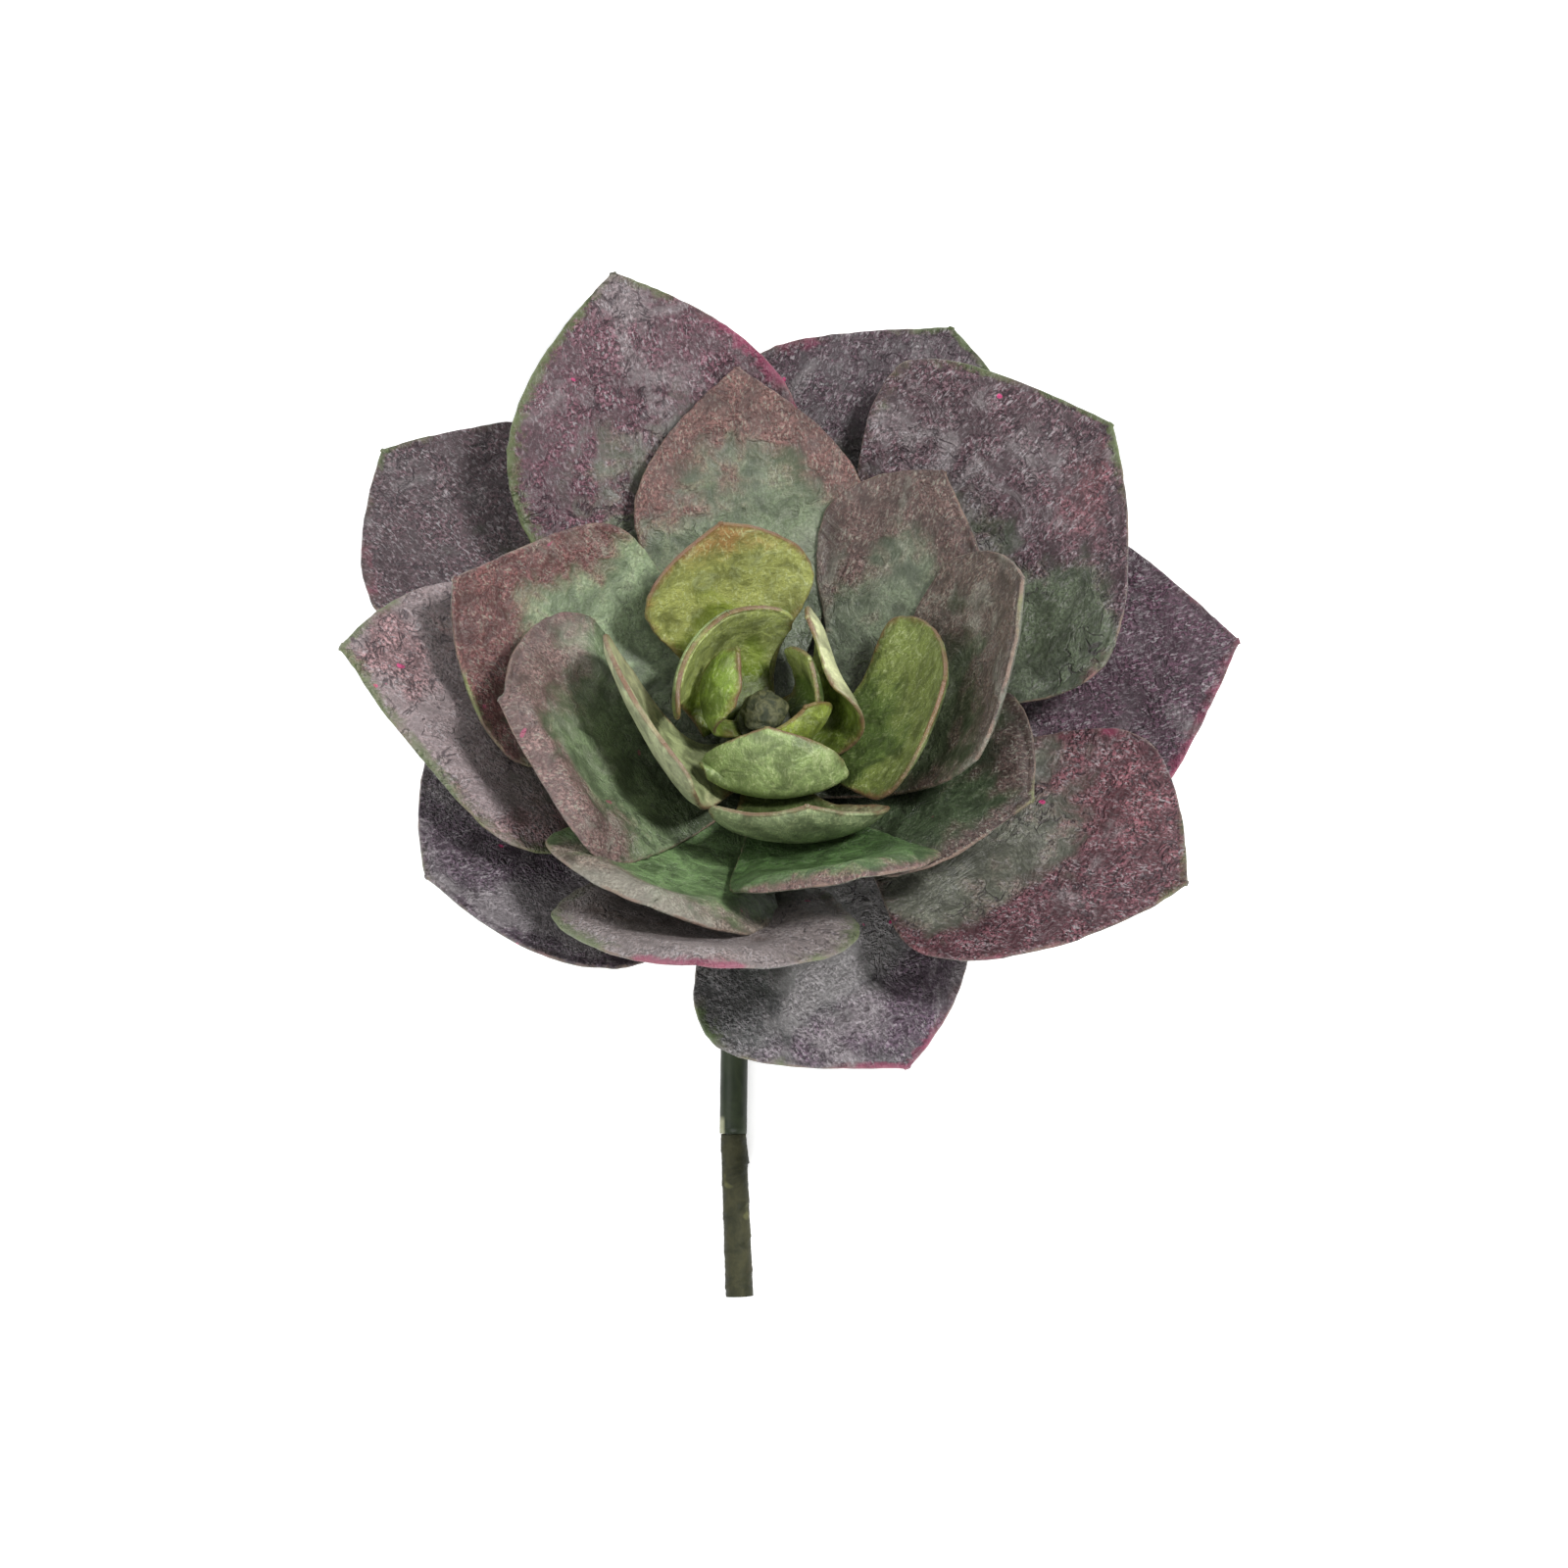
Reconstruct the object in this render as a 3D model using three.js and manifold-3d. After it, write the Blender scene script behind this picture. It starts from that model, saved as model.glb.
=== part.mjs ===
// An artificial echeveria: moulded rings of leaves threaded on a bent wire stem.
// The stem lies on the ground along -Y, and the rosette leans back on two of its outer leaves.
// Millimetres, +Z up. The origin is on the ground, in the middle of the whole plant's outline.
import * as THREE from "three";
import { mergeVertices } from "three/addons/utils/BufferGeometryUtils.js";
import Module from "manifold-3d";

const wasm = await Module();
wasm.setup();

// Driving dimensions
const LEAN = 32; // degrees from straight up to the rosette's axis, which leans towards +Y
const ROSETTE_AT = [-4.61, 1.71, 20.9]; // the middle of the lowest leaf ring's hub
const RING_PITCH = 2.5; // from one hub to the next along the axis
const HUB_HEIGHT = 2.2;
const FIT = 0.3; // clearance between two pieces that touch
const LEAF_THICKNESS = 1.7;
const ROOT_THICKNESS = 2.0;
const RIM_THICKNESS = 1.1;
const TIP_WIDTH = 1.2;
const FLAT_FOOT = 0.35; // the share of a leaf's length over which its cupped form starts
const LEAST_CUP = 0.02; // keeps the foot's curl from being divided by nothing
const LEAST_FULLNESS = 0.05; // and the tip's: the cup is this share of its full curve at the least
const TWIST_OVER = 0.6; // the share of its length over which a leaf twists
const THICK_FOOT = 0.3; // the share of its length over which a leaf thins to its blade
const WIRE_RADIUS = 1.1;
const STEM_RADIUS = 2.15;
const COLLAR_RADIUS = 4.5; // the moulded shoulder under the lowest hub
const COLLAR_HEIGHT = 1.6;
const KNOB_RADIUS = 3.6; // the wound end of the stem, which shows in the rosette's heart
const KNOB_HEIGHT = 4.6;
const KNOB_FOOT = 0.8; // its foot and its top, as shares of its radius
const KNOB_TOP = 0.6;
const WIRE_IN_KNOB = 2.4;
const NECK = -5; // height on the axis where the stem starts to bend
const BEND = 17; // how far the bend's two ends pull on it
const STEM_LANDING = [-9.31, -28.49, 2.15]; // where the bent stem meets the ground
const SLEEVE_END = [-9.61, -55.49, 2.15]; // where the moulded sleeve stops and the wound tape starts
const STEM_END = [-8.61, -81.49, 2.15]; // the cut end
const LOOSE_EDGE = { below: 0.5, length: 5, overhang: 0.9, thickness: 0.6 }; // of the wound tape
const SUNK = 0.4; // how deep a joined piece reaches into the one that carries it

// How finely round pieces are faceted
const HUB_SIDES = 24;
const STEM_SIDES = 14;
const STEM_STEPS = 30;

// Each leaf runs from its hub's edge at azimuth root to azimuth tip, reach from the axis and rise
// above the lowest hub. out and up are its pitch at the root and at the tip, and heading is the
// tip's own azimuth where it differs from tip. width is its greatest width, at the share wide of
// its length. shoulder is how full the outline stays from there to the tip, and waist is how late
// it widens from its foot, which is a share of the width. cup curls both sides up at the widest
// place, and less where the blade is narrower. twist turns the blade about its own length. swell
// and hook stretch the bends at the root and at the tip.
// A pair gives the clockwise side first. Angles are in degrees, and cup is in radians.
const PLAIN_LEAF = {
  wide: [0.64, 0.64],
  shoulder: [1.9, 1.9],
  waist: 2,
  foot: 0.3,
  side: [1, 1],
  cup: 0.3,
  twist: 0,
  swell: 0.36,
  hook: 0.36,
};

const LEAF_RINGS = [
  {
    name: "leaf_ring_1_outermost",
    hub: 7,
    rootRadius: 6,
    cells: [10, 8],
    colour: 0x5b4a5c,
    leaves: [
      {
        root: 142,
        tip: 138.8,
        reach: 81.3,
        rise: 12,
        width: 50,
        out: 3,
        up: 9,
        wide: [0.7, 0.7],
        shoulder: [2, 2],
        side: [1, 0.93],
      },
      {
        root: 84,
        tip: 67.4,
        reach: 77.8,
        rise: 20,
        width: 54,
        out: 7,
        up: 16,
        wide: [0.7, 0.7],
        waist: 2.6,
        foot: 0.25,
      },
      {
        root: 18,
        tip: 13,
        reach: 76.5,
        rise: 12,
        width: 58,
        out: 2,
        up: 10,
        shoulder: [1.3, 1.8],
        waist: 2.6,
        foot: 0.25,
        twist: 8,
      },
      {
        root: -92,
        tip: -67,
        reach: 56.5,
        rise: -2,
        width: 46,
        out: 0,
        up: -5,
        wide: [0.62, 0.62],
        shoulder: [1.8, 1.8],
        waist: 2.6,
        foot: 0.2,
        side: [1.1, 1.05],
      },
      { root: -142, tip: -151.5, reach: 59, rise: 15, width: 57, out: 4, up: 14, shoulder: [2.2, 2.2] },
    ],
  },
  {
    name: "leaf_ring_2",
    hub: 7,
    rootRadius: 6,
    cells: [10, 8],
    colour: 0x6f5c68,
    leaves: [
      {
        root: 110,
        tip: 108.2,
        reach: 77.2,
        rise: 33,
        width: 50,
        out: 9,
        up: 32,
        wide: [0.6, 0.6],
        shoulder: [2.2, 2.2],
        side: [0.92, 1.04],
      },
      {
        root: 42,
        tip: 39.5,
        reach: 70.5,
        rise: 32,
        width: 60,
        out: 9,
        up: 34,
        wide: [0.62, 0.76],
        shoulder: [1.6, 2],
        waist: 2.6,
        foot: 0.2,
        side: [0.97, 1.08],
      },
      {
        root: -20,
        tip: -26.5,
        reach: 72,
        rise: 20,
        width: 48,
        out: 8,
        up: 18,
        wide: [0.56, 0.7],
        shoulder: [1.8, 2.1],
        waist: 2.6,
        foot: 0.2,
        side: [1.14, 0.92],
      },
      {
        root: -103,
        tip: -100,
        reach: 57,
        rise: 39,
        width: 50,
        out: 8,
        up: 66,
        side: [0.98, 0.9],
        cup: 0.4,
        twist: 7,
      },
      {
        root: -168,
        tip: 175,
        reach: 65.5,
        rise: 28,
        width: 50,
        out: 9,
        up: 30,
        wide: [0.7, 0.5],
        shoulder: [1.9, 1.4],
        waist: 2.6,
        side: [0.9, 1.05],
      },
    ],
  },
  {
    name: "leaf_ring_3",
    hub: 7,
    rootRadius: 6,
    cells: [9, 6],
    colour: 0x77766c,
    leaves: [
      {
        root: 93,
        tip: 94.3,
        reach: 59,
        rise: 27.5,
        width: 38,
        out: 11,
        up: 30,
        wide: [0.6, 0.6],
        waist: 2.6,
        side: [1, 0.96],
      },
      {
        root: 146,
        tip: 162.5,
        reach: 50.5,
        rise: 33,
        width: 43,
        out: 12,
        up: 50,
        wide: [0.56, 0.64],
        shoulder: [1.6, 1.6],
      },
      {
        root: 28,
        tip: 53.6,
        reach: 47.6,
        rise: 28.3,
        width: 36,
        out: 12,
        up: 40,
        wide: [0.6, 0.75],
        waist: 3,
        side: [1, 0.9],
        twist: 7,
      },
      { root: -28, tip: -28, reach: 46, rise: 28, width: 40, out: 11, up: 38, waist: 2.4, side: [0.9, 1] },
      {
        root: -120,
        tip: -110,
        reach: 47.5,
        rise: 37,
        width: 44,
        out: 11,
        up: 72,
        wide: [0.6, 0.6],
        side: [0.96, 0.72],
        twist: 5,
      },
    ],
  },
  {
    name: "leaf_ring_4",
    hub: 7,
    rootRadius: 6,
    cells: [9, 6],
    colour: 0x6f8068,
    leaves: [
      {
        root: -16,
        tip: 14.5,
        reach: 41.2,
        rise: 40,
        width: 48,
        out: 12,
        up: 66,
        wide: [0.64, 0.72],
        waist: 2.8,
        side: [1, 0.76],
        twist: 14,
      },
      { root: -78, tip: -71, reach: 43.5, rise: 40, width: 32, out: 12, up: 76, wide: [0.68, 0.68] },
      { root: -148, tip: -168, reach: 40, rise: 36, width: 48, out: 12, up: 60, twist: -16 },
    ],
  },
  {
    name: "leaf_ring_5",
    hub: 6,
    rootRadius: 5,
    cells: [7, 6],
    colour: 0x8a9a4a,
    leaves: [
      {
        root: 110,
        tip: 106,
        reach: 24.3,
        rise: 36,
        width: 29,
        out: 12,
        up: 80,
        wide: [0.6, 0.6],
        shoulder: [2.2, 2.2],
        side: [0.98, 0.95],
        swell: 0.5,
      },
      {
        root: -16,
        tip: -8,
        reach: 28,
        rise: 34,
        width: 31,
        out: 12,
        up: 80,
        wide: [0.56, 0.5],
        shoulder: [2.3, 2.3],
        waist: 2.4,
        side: [0.92, 1.3],
        twist: 6,
        swell: 0.45,
      },
      {
        root: -82,
        tip: -76,
        reach: 27,
        rise: 33,
        width: 30,
        out: 10,
        up: 100,
        cup: 0.65,
        twist: -6,
        swell: 0.55,
      },
      {
        root: -143,
        tip: -170,
        reach: 22.8,
        rise: 37,
        width: 32.5,
        out: 11,
        up: 80,
        shoulder: [3.4, 2.2],
        foot: 0.25,
        side: [0.88, 1.2],
        cup: 0.26,
        twist: -14,
        swell: 0.45,
      },
    ],
  },
  {
    name: "leaf_ring_6",
    hub: 5,
    rootRadius: 4,
    cells: [7, 6],
    colour: 0x8ea64a,
    leaves: [
      {
        root: 121,
        tip: 117,
        reach: 12,
        rise: 30,
        width: 32.2,
        out: 18,
        up: 92,
        wide: [0.72, 0.78],
        shoulder: [3, 4.5],
        foot: 0.45,
        side: [0.66, 1.2],
        cup: 1,
        swell: 0.55,
      },
      {
        root: 16,
        tip: 58,
        reach: 12.6,
        rise: 28.8,
        width: 27,
        out: 9,
        up: 112,
        heading: 25,
        wide: [0.36, 0.6],
        shoulder: [2.1, 2.4],
        foot: 0.7,
        side: [0.86, 0.55],
        swell: 0.62,
        hook: 0.42,
      },
      {
        root: -90,
        tip: -86,
        reach: 7.6,
        rise: 26,
        width: 26.4,
        out: 9,
        up: 135,
        wide: [0.56, 0.56],
        shoulder: [3.2, 3.2],
        waist: 1.6,
        foot: 0.5,
        side: [0.9, 1],
        cup: 0.75,
        twist: -7,
        swell: 1.1,
        hook: 0.65,
      },
    ],
  },
  {
    name: "leaf_ring_7_innermost",
    hub: 4.2,
    rootRadius: 3,
    cells: [7, 6],
    colour: 0x93b03c,
    leaves: [
      {
        root: 198,
        tip: 135,
        reach: 5.8,
        rise: 30,
        width: 10,
        out: 18,
        up: 60,
        heading: 45,
        cup: 0.4,
        swell: 0.8,
      },
      { root: 24, tip: 32, reach: 8.4, rise: 27, width: 14, out: 15, up: 85, cup: 0.6, swell: 0.7 },
      { root: -52, tip: -30, reach: 7.4, rise: 25.6, width: 13, out: 15, up: 108, cup: 0.5, swell: 0.6 },
    ],
  },
];

const radians = THREE.MathUtils.degToRad;

// The unit vector at an azimuth and at a pitch above the hub's plane.
function direction(azimuth, pitch) {
  const across = Math.cos(radians(pitch));
  return new THREE.Vector3(
    Math.cos(radians(azimuth)) * across,
    Math.sin(radians(azimuth)) * across,
    Math.sin(radians(pitch)),
  );
}

// The half-width of one side of a blade at u, which runs from 0 at the root to 1 at the tip.
function halfWidth(leaf, sideIndex, u) {
  const wide = leaf.wide[sideIndex];
  const rise = Math.sin((Math.PI / 2) * Math.min(u / wide, 1)) ** leaf.waist;
  const fall = 1 - (Math.max(u - wide, 0) / (1 - wide)) ** leaf.shoulder[sideIndex];
  const share = u < wide ? leaf.foot + (1 - leaf.foot) * rise : fall;
  return Math.max((leaf.width / 2) * leaf.side[sideIndex] * share, TIP_WIDTH / 2);
}

// The curve along the middle of a blade.
function leafMidrib(leaf, hubRadius, hubHeight) {
  const start = direction(leaf.root, 0).multiplyScalar(hubRadius);
  start.z = hubHeight;
  const end = direction(leaf.tip, 0).multiplyScalar(leaf.reach);
  end.z = leaf.rise;
  const span = start.distanceTo(end);
  const heading = leaf.heading ?? leaf.tip;
  const afterStart = start.clone().addScaledVector(direction(leaf.root, leaf.out), span * leaf.swell);
  const beforeEnd = end.clone().addScaledVector(direction(heading, leaf.up), -span * leaf.hook);
  return new THREE.CubicBezierCurve3(start, afterStart, beforeEnd, end);
}

// A point in the middle of the blade's thickness, and the blade's own normal there.
function leafPoint(leaf, midrib, u, v) {
  const along = midrib.getTangent(u);
  const side = direction(leaf.root + 90, 0);
  side.addScaledVector(along, -side.dot(along)).normalize();
  side.applyAxisAngle(along, radians(leaf.twist) * Math.min(u / TWIST_OVER, 1));
  const normal = along.clone().cross(side);
  const half = halfWidth(leaf, v < 0 ? 0 : 1, u);
  const fullness = Math.max(half / (leaf.width / 2), LEAST_FULLNESS);
  const cup = leaf.cup * THREE.MathUtils.clamp(u / FLAT_FOOT, LEAST_CUP, 1) * fullness;
  const curl = cup * v;
  const point = midrib.getPoint(u);
  point.addScaledVector(side, (half * Math.sin(curl)) / cup);
  point.addScaledVector(normal, (half * (1 - Math.cos(curl))) / cup);
  const facing = normal.multiplyScalar(Math.cos(curl)).addScaledVector(side, -Math.sin(curl));
  return { point, facing };
}

// A blade is even in its middle and thins quickly near its rim and its tip.
function thickness(u, v) {
  const body = THREE.MathUtils.lerp(ROOT_THICKNESS, LEAF_THICKNESS, Math.min(u / THICK_FOOT, 1));
  return RIM_THICKNESS + (body - RIM_THICKNESS) * (1 - v ** 4) * (1 - u ** 8);
}

// A closed mesh's solid, so that it can be joined to others or cut.
function solid(positions, triangles) {
  const mesh = new wasm.Mesh({
    numProp: 3,
    vertProperties: new Float32Array(positions),
    triVerts: new Uint32Array(triangles),
  });
  return new wasm.Manifold(mesh);
}

function solidOf(geometry) {
  geometry.deleteAttribute("normal");
  geometry.deleteAttribute("uv");
  const merged = mergeVertices(geometry, 1e-4);
  return solid(merged.attributes.position.array, merged.index.array);
}

// One leaf: an upper and a lower face on the same grid, with a wall round them.
function leafSolid(leaf, hubRadius, hubHeight, [cellsAlong, cellsAcross]) {
  const midrib = leafMidrib(leaf, hubRadius, hubHeight);
  const columns = cellsAcross + 1;
  const upper = [];
  const lower = [];
  for (let i = 0; i <= cellsAlong; i += 1) {
    for (let j = 0; j <= cellsAcross; j += 1) {
      const u = Math.sin((Math.PI / 2) * (i / cellsAlong)); // finer towards the tip
      const v = (2 * j) / cellsAcross - 1;
      const { point, facing } = leafPoint(leaf, midrib, u, v);
      const half = thickness(u, v) / 2;
      upper.push(...point.clone().addScaledVector(facing, half));
      lower.push(...point.addScaledVector(facing, -half));
    }
  }
  const below = upper.length / 3;
  const at = (i, j) => i * columns + j;
  const triangles = [];
  const quad = (a, b, c, d) => triangles.push(a, b, c, a, c, d);
  for (let i = 0; i < cellsAlong; i += 1) {
    for (let j = 0; j < cellsAcross; j += 1) {
      const [a, b, c, d] = [at(i, j), at(i + 1, j), at(i + 1, j + 1), at(i, j + 1)];
      quad(a, b, c, d);
      triangles.push(below + a, below + c, below + b, below + a, below + d, below + c);
    }
  }
  const rim = [];
  for (let i = 0; i < cellsAlong; i += 1) rim.push(at(i, 0));
  for (let j = 0; j < cellsAcross; j += 1) rim.push(at(cellsAlong, j));
  for (let i = cellsAlong; i > 0; i -= 1) rim.push(at(i, cellsAcross));
  for (let j = cellsAcross; j > 0; j -= 1) rim.push(at(0, j));
  rim.forEach((a, k) => {
    const b = rim[(k + 1) % rim.length];
    quad(below + a, below + b, b, a);
  });
  return solid([...upper, ...lower], triangles);
}

// A flat round ring with its axis on Z.
function washer(inner, outer, low, high) {
  const profile = [
    [inner, low],
    [outer, low],
    [outer, high],
    [inner, high],
    [inner, low],
  ].map(([radius, height]) => new THREE.Vector2(radius, height));
  return new THREE.LatheGeometry(profile, HUB_SIDES).rotateX(Math.PI / 2);
}

// A solid round piece that narrows or widens upwards, with its axis on Z.
function frustum(lowRadius, highRadius, low, high) {
  const geometry = new THREE.CylinderGeometry(highRadius, lowRadius, high - low, STEM_SIDES);
  return geometry.rotateX(Math.PI / 2).translate(0, 0, (low + high) / 2);
}

function meshOf(name, body, material) {
  const made = body.getMesh();
  const geometry = new THREE.BufferGeometry();
  geometry.setAttribute("position", new THREE.BufferAttribute(made.vertProperties, 3));
  geometry.setIndex(new THREE.BufferAttribute(made.triVerts, 1));
  geometry.computeVertexNormals();
  const mesh = new THREE.Mesh(geometry, material);
  mesh.name = name;
  return mesh;
}

function plastic(color) {
  return new THREE.MeshStandardMaterial({ color, roughness: 0.7, metalness: 0 });
}

// The rosette stands in a frame of its own, leant back, with its axis on Z and the middle of its
// lowest hub at the origin.
const rosette = new THREE.Group();
rosette.name = "rosette";
rosette.position.set(...ROSETTE_AT);
rosette.rotation.x = -radians(LEAN);
rosette.updateMatrixWorld(true);
const onAxis = (height) => rosette.localToWorld(new THREE.Vector3(0, 0, height));

// One moulded ring: its leaves are fused at their feet to a hub that slides onto the stem.
function leafRing(ring, index) {
  const middle = index * RING_PITCH;
  const hub = washer(STEM_RADIUS + FIT, ring.hub, middle - HUB_HEIGHT / 2, middle + HUB_HEIGHT / 2);
  return ring.leaves
    .map((row) => leafSolid({ ...PLAIN_LEAF, ...row }, ring.rootRadius, middle, ring.cells))
    .reduce((joined, leaf) => joined.add(leaf), solidOf(hub));
}

// The ground presses a small flat under each leaf that the plant rests on.
function aboveGround(body) {
  const deep = 40;
  const ground = new THREE.BoxGeometry(400, 400, deep).translate(0, 0, -deep / 2);
  return body.subtract(solidOf(ground.applyMatrix4(rosette.matrixWorld.clone().invert())));
}

// The stem's middle line: down the axis, round the bend, and along the ground to each point.
function stemRoute(top, ...groundPoints) {
  const route = new THREE.CurvePath();
  const neck = onAxis(NECK);
  const [landing, next] = groundPoints;
  const beforeLanding = landing.clone().sub(next).setLength(BEND).add(landing);
  route.add(new THREE.LineCurve3(onAxis(top), neck));
  route.add(new THREE.CubicBezierCurve3(neck, onAxis(NECK - BEND), beforeLanding, landing));
  groundPoints.slice(1).forEach((point, i) => {
    route.add(new THREE.LineCurve3(groundPoints[i], point));
  });
  return route;
}

// A round tube along a route. With no bore it is a rod.
function tube(route, radius, bore, steps) {
  const section = new THREE.Shape().absarc(0, 0, radius, 0, 2 * Math.PI);
  if (bore > 0) section.holes.push(new THREE.Path().absarc(0, 0, bore, 0, 2 * Math.PI, true));
  const curveSegments = STEM_SIDES / 2;
  return solidOf(new THREE.ExtrudeGeometry(section, { extrudePath: route, steps, curveSegments }));
}

const landing = new THREE.Vector3(...STEM_LANDING);
const sleeveEnd = new THREE.Vector3(...SLEEVE_END);
const stemEnd = new THREE.Vector3(...STEM_END);
const lastHubTop = (LEAF_RINGS.length - 1) * RING_PITCH + HUB_HEIGHT / 2;
const knobLow = lastHubTop + FIT;

// The sleeve carries all the hubs, and a shoulder moulded on it stops the lowest one.
function stemSleeve() {
  const high = -HUB_HEIGHT / 2 - FIT;
  const shoulder = washer(STEM_RADIUS - SUNK, COLLAR_RADIUS, high - COLLAR_HEIGHT, high);
  const route = stemRoute(lastHubTop, landing, sleeveEnd);
  const shaft = tube(route, STEM_RADIUS, WIRE_RADIUS + FIT, STEM_STEPS);
  return shaft.add(solidOf(shoulder.applyMatrix4(rosette.matrixWorld)));
}

// The wire runs from inside the knob to the cut end.
function stemWire() {
  const route = stemRoute(knobLow + WIRE_IN_KNOB, landing, sleeveEnd, stemEnd);
  return tube(route, WIRE_RADIUS, 0, STEM_STEPS);
}

// Tape wound on the bare end of the wire, with one edge that has come loose.
function stemTape() {
  const down = stemEnd.clone().sub(sleeveEnd).normalize();
  const start = sleeveEnd.clone().addScaledVector(down, FIT);
  const wound = tube(new THREE.LineCurve3(start, stemEnd), STEM_RADIUS, WIRE_RADIUS + FIT, 4);
  const { below, length, overhang, thickness: depth } = LOOSE_EDGE;
  const outline = new THREE.Shape([
    new THREE.Vector2(STEM_RADIUS - SUNK, -length),
    new THREE.Vector2(STEM_RADIUS + overhang, -length),
    new THREE.Vector2(STEM_RADIUS, 0),
    new THREE.Vector2(STEM_RADIUS - SUNK, 0),
  ]);
  const edge = new THREE.ExtrudeGeometry(outline, { depth, bevelEnabled: false });
  edge.translate(start.x, start.y - below, start.z - depth / 2);
  return wound.add(solidOf(edge));
}

// The end of the wire is wound over into a knob, which holds the last ring on.
function stemKnob() {
  const belly = knobLow + KNOB_HEIGHT / 3;
  const lower = frustum(KNOB_RADIUS * KNOB_FOOT, KNOB_RADIUS, knobLow, belly);
  const upper = frustum(KNOB_RADIUS, KNOB_RADIUS * KNOB_TOP, belly, knobLow + KNOB_HEIGHT);
  const bore = WIRE_RADIUS + FIT;
  const socket = frustum(bore, bore, knobLow - FIT, knobLow + WIRE_IN_KNOB + FIT);
  return solidOf(lower).add(solidOf(upper)).subtract(solidOf(socket));
}

LEAF_RINGS.forEach((ring, index) => {
  const body = leafRing(ring, index);
  rosette.add(meshOf(ring.name, index === 0 ? aboveGround(body) : body, plastic(ring.colour)));
});
rosette.add(meshOf("stem_knob", stemKnob(), plastic(0x55583c)));

const plant = new THREE.Group();
plant.name = "echeveria_pick";
plant.add(rosette);
plant.add(meshOf("stem_sleeve", stemSleeve(), plastic(0x3c4a3a)));
plant.add(meshOf("stem_tape", stemTape(), plastic(0x4a4c3a)));
const steel = new THREE.MeshStandardMaterial({ color: 0x6b6f72, roughness: 0.45, metalness: 1 });
plant.add(meshOf("stem_wire", stemWire(), steel));

export default plant;
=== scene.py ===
import math
import bpy
import numpy as np
from mathutils import Matrix, Vector, noise


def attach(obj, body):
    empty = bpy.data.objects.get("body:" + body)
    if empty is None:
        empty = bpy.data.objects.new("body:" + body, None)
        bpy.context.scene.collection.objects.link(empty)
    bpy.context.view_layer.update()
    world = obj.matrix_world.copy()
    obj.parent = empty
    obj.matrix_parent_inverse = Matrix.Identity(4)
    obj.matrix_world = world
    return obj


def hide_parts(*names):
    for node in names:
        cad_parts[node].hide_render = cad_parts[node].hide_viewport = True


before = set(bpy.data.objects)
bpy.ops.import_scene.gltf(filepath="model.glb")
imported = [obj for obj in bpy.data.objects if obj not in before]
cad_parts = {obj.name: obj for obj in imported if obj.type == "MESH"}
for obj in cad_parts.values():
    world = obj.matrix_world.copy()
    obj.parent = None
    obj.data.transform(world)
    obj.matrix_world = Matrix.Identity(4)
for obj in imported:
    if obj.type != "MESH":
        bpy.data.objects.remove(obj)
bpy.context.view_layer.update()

# The outermost ring of leaves
# Five broad leaves of soft plastic, moulded in one with a hub that slides down the stem. Two of
# them carry the plant on the ground. The plastic is painted dusky purple over green and then
# brushed with pale grey frost, and its trimmed edges keep stretches of green and of pink.
LEAN = math.radians(32)
rosette = Matrix.Translation((-4.61, 1.71, 20.9)) @ Matrix.Rotation(-LEAN, 4, "X")
RING_PITCH = 2.5
HUB_HEIGHT = 2.2
HUB_BORE = 2.45
HUB_EDGE_EASE = 0.25
TIP_HALF_WIDTH = 0.5
RIM_THICKNESS = 0.7
RIM_TAPER = 4.5
RIM_ROUNDING = 0.35
FOOT_EXTRA = 0.3
BEAD_FROM, BEAD_TO = 0.8, 2.3
LONG_WAVE, SHORT_WAVE, RIPPLE = 17, 7, 3.4
NICK_LENGTH, NICK_DEPTH, NICKED_BAND = 1.6, 0.28, 1.5
FAR_FROM_RIM = 5
# Shares of a leaf's length, 0 at the foot and 1 at the tip, over which each form comes in.
TWIST_OVER, CUP_OVER = 0.6, 0.35
WAVES_GROW, LIPS_GROW, BEAD_GROWS, NICKS_GROW = (0.1, 0.5), (0.25, 0.6), (0.15, 0.4), (0.15, 0.3)
TIP_TINT_FROM, TIP_TINT_FULL = 0.82, 0.97
# The base paint's border arches and blends, and the foot is less frosted and darker: partly a
# deeper green and partly painted shade where the leaves overlap.
BASE_ARCH, PAINT_BLEND = 0.22, 0.5
FOOT_FROST, FOOT_SHADE = 0.35, 0.45

# Millimetres and degrees. A leaf runs from the hub at azimuth root to azimuth tip, reach from the
# axis and rise above the lowest hub; out and up are its pitch at the root and at the tip. The
# first of each pair is the clockwise side. rim is the edge's tint on the clockwise side, at the tip
# and on the other side: 0 is green, 0.5 brown and 1 pink.
plain_leaf = {
    "wide": (0.64, 0.64), "shoulder": (1.9, 1.9), "waist": 2, "foot": 0.3, "side": (1, 1),
    "cup": 0.3, "twist": 0, "swell": 0.36, "hook": 0.36, "heading": None,
    "roll": (0, 0), "roll_width": 7, "wave": 0.7, "bead": 0.25, "thick": 1.7,
    "rim": (0.5, 0.5, 0.5),
    "base_paint": (0.12, 0.15, 0.1), "blade_paint": (0.12, 0.075, 0.09), "blush": (0.2, 0.08, 0.1),
    "back_paint": (0.12, 0.13, 0.09),
    "reach_of_base": 0.5, "base_spots": [], "blush_spots": [], "frost": 0.5, "frost_spots": [],
}


def fade(low, high, value):
    """0 below low, 1 above high, and a smooth change between."""
    share = np.clip((value - low) / (high - low), 0, 1)
    return share * share * (3 - 2 * share)


def direction(azimuth, pitch):
    """A unit vector that points to an azimuth and rises by a pitch, both in degrees."""
    azimuth, pitch = math.radians(azimuth), math.radians(pitch)
    across = math.cos(pitch)
    return np.array([math.cos(azimuth) * across, math.sin(azimuth) * across, math.sin(pitch)])


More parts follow.
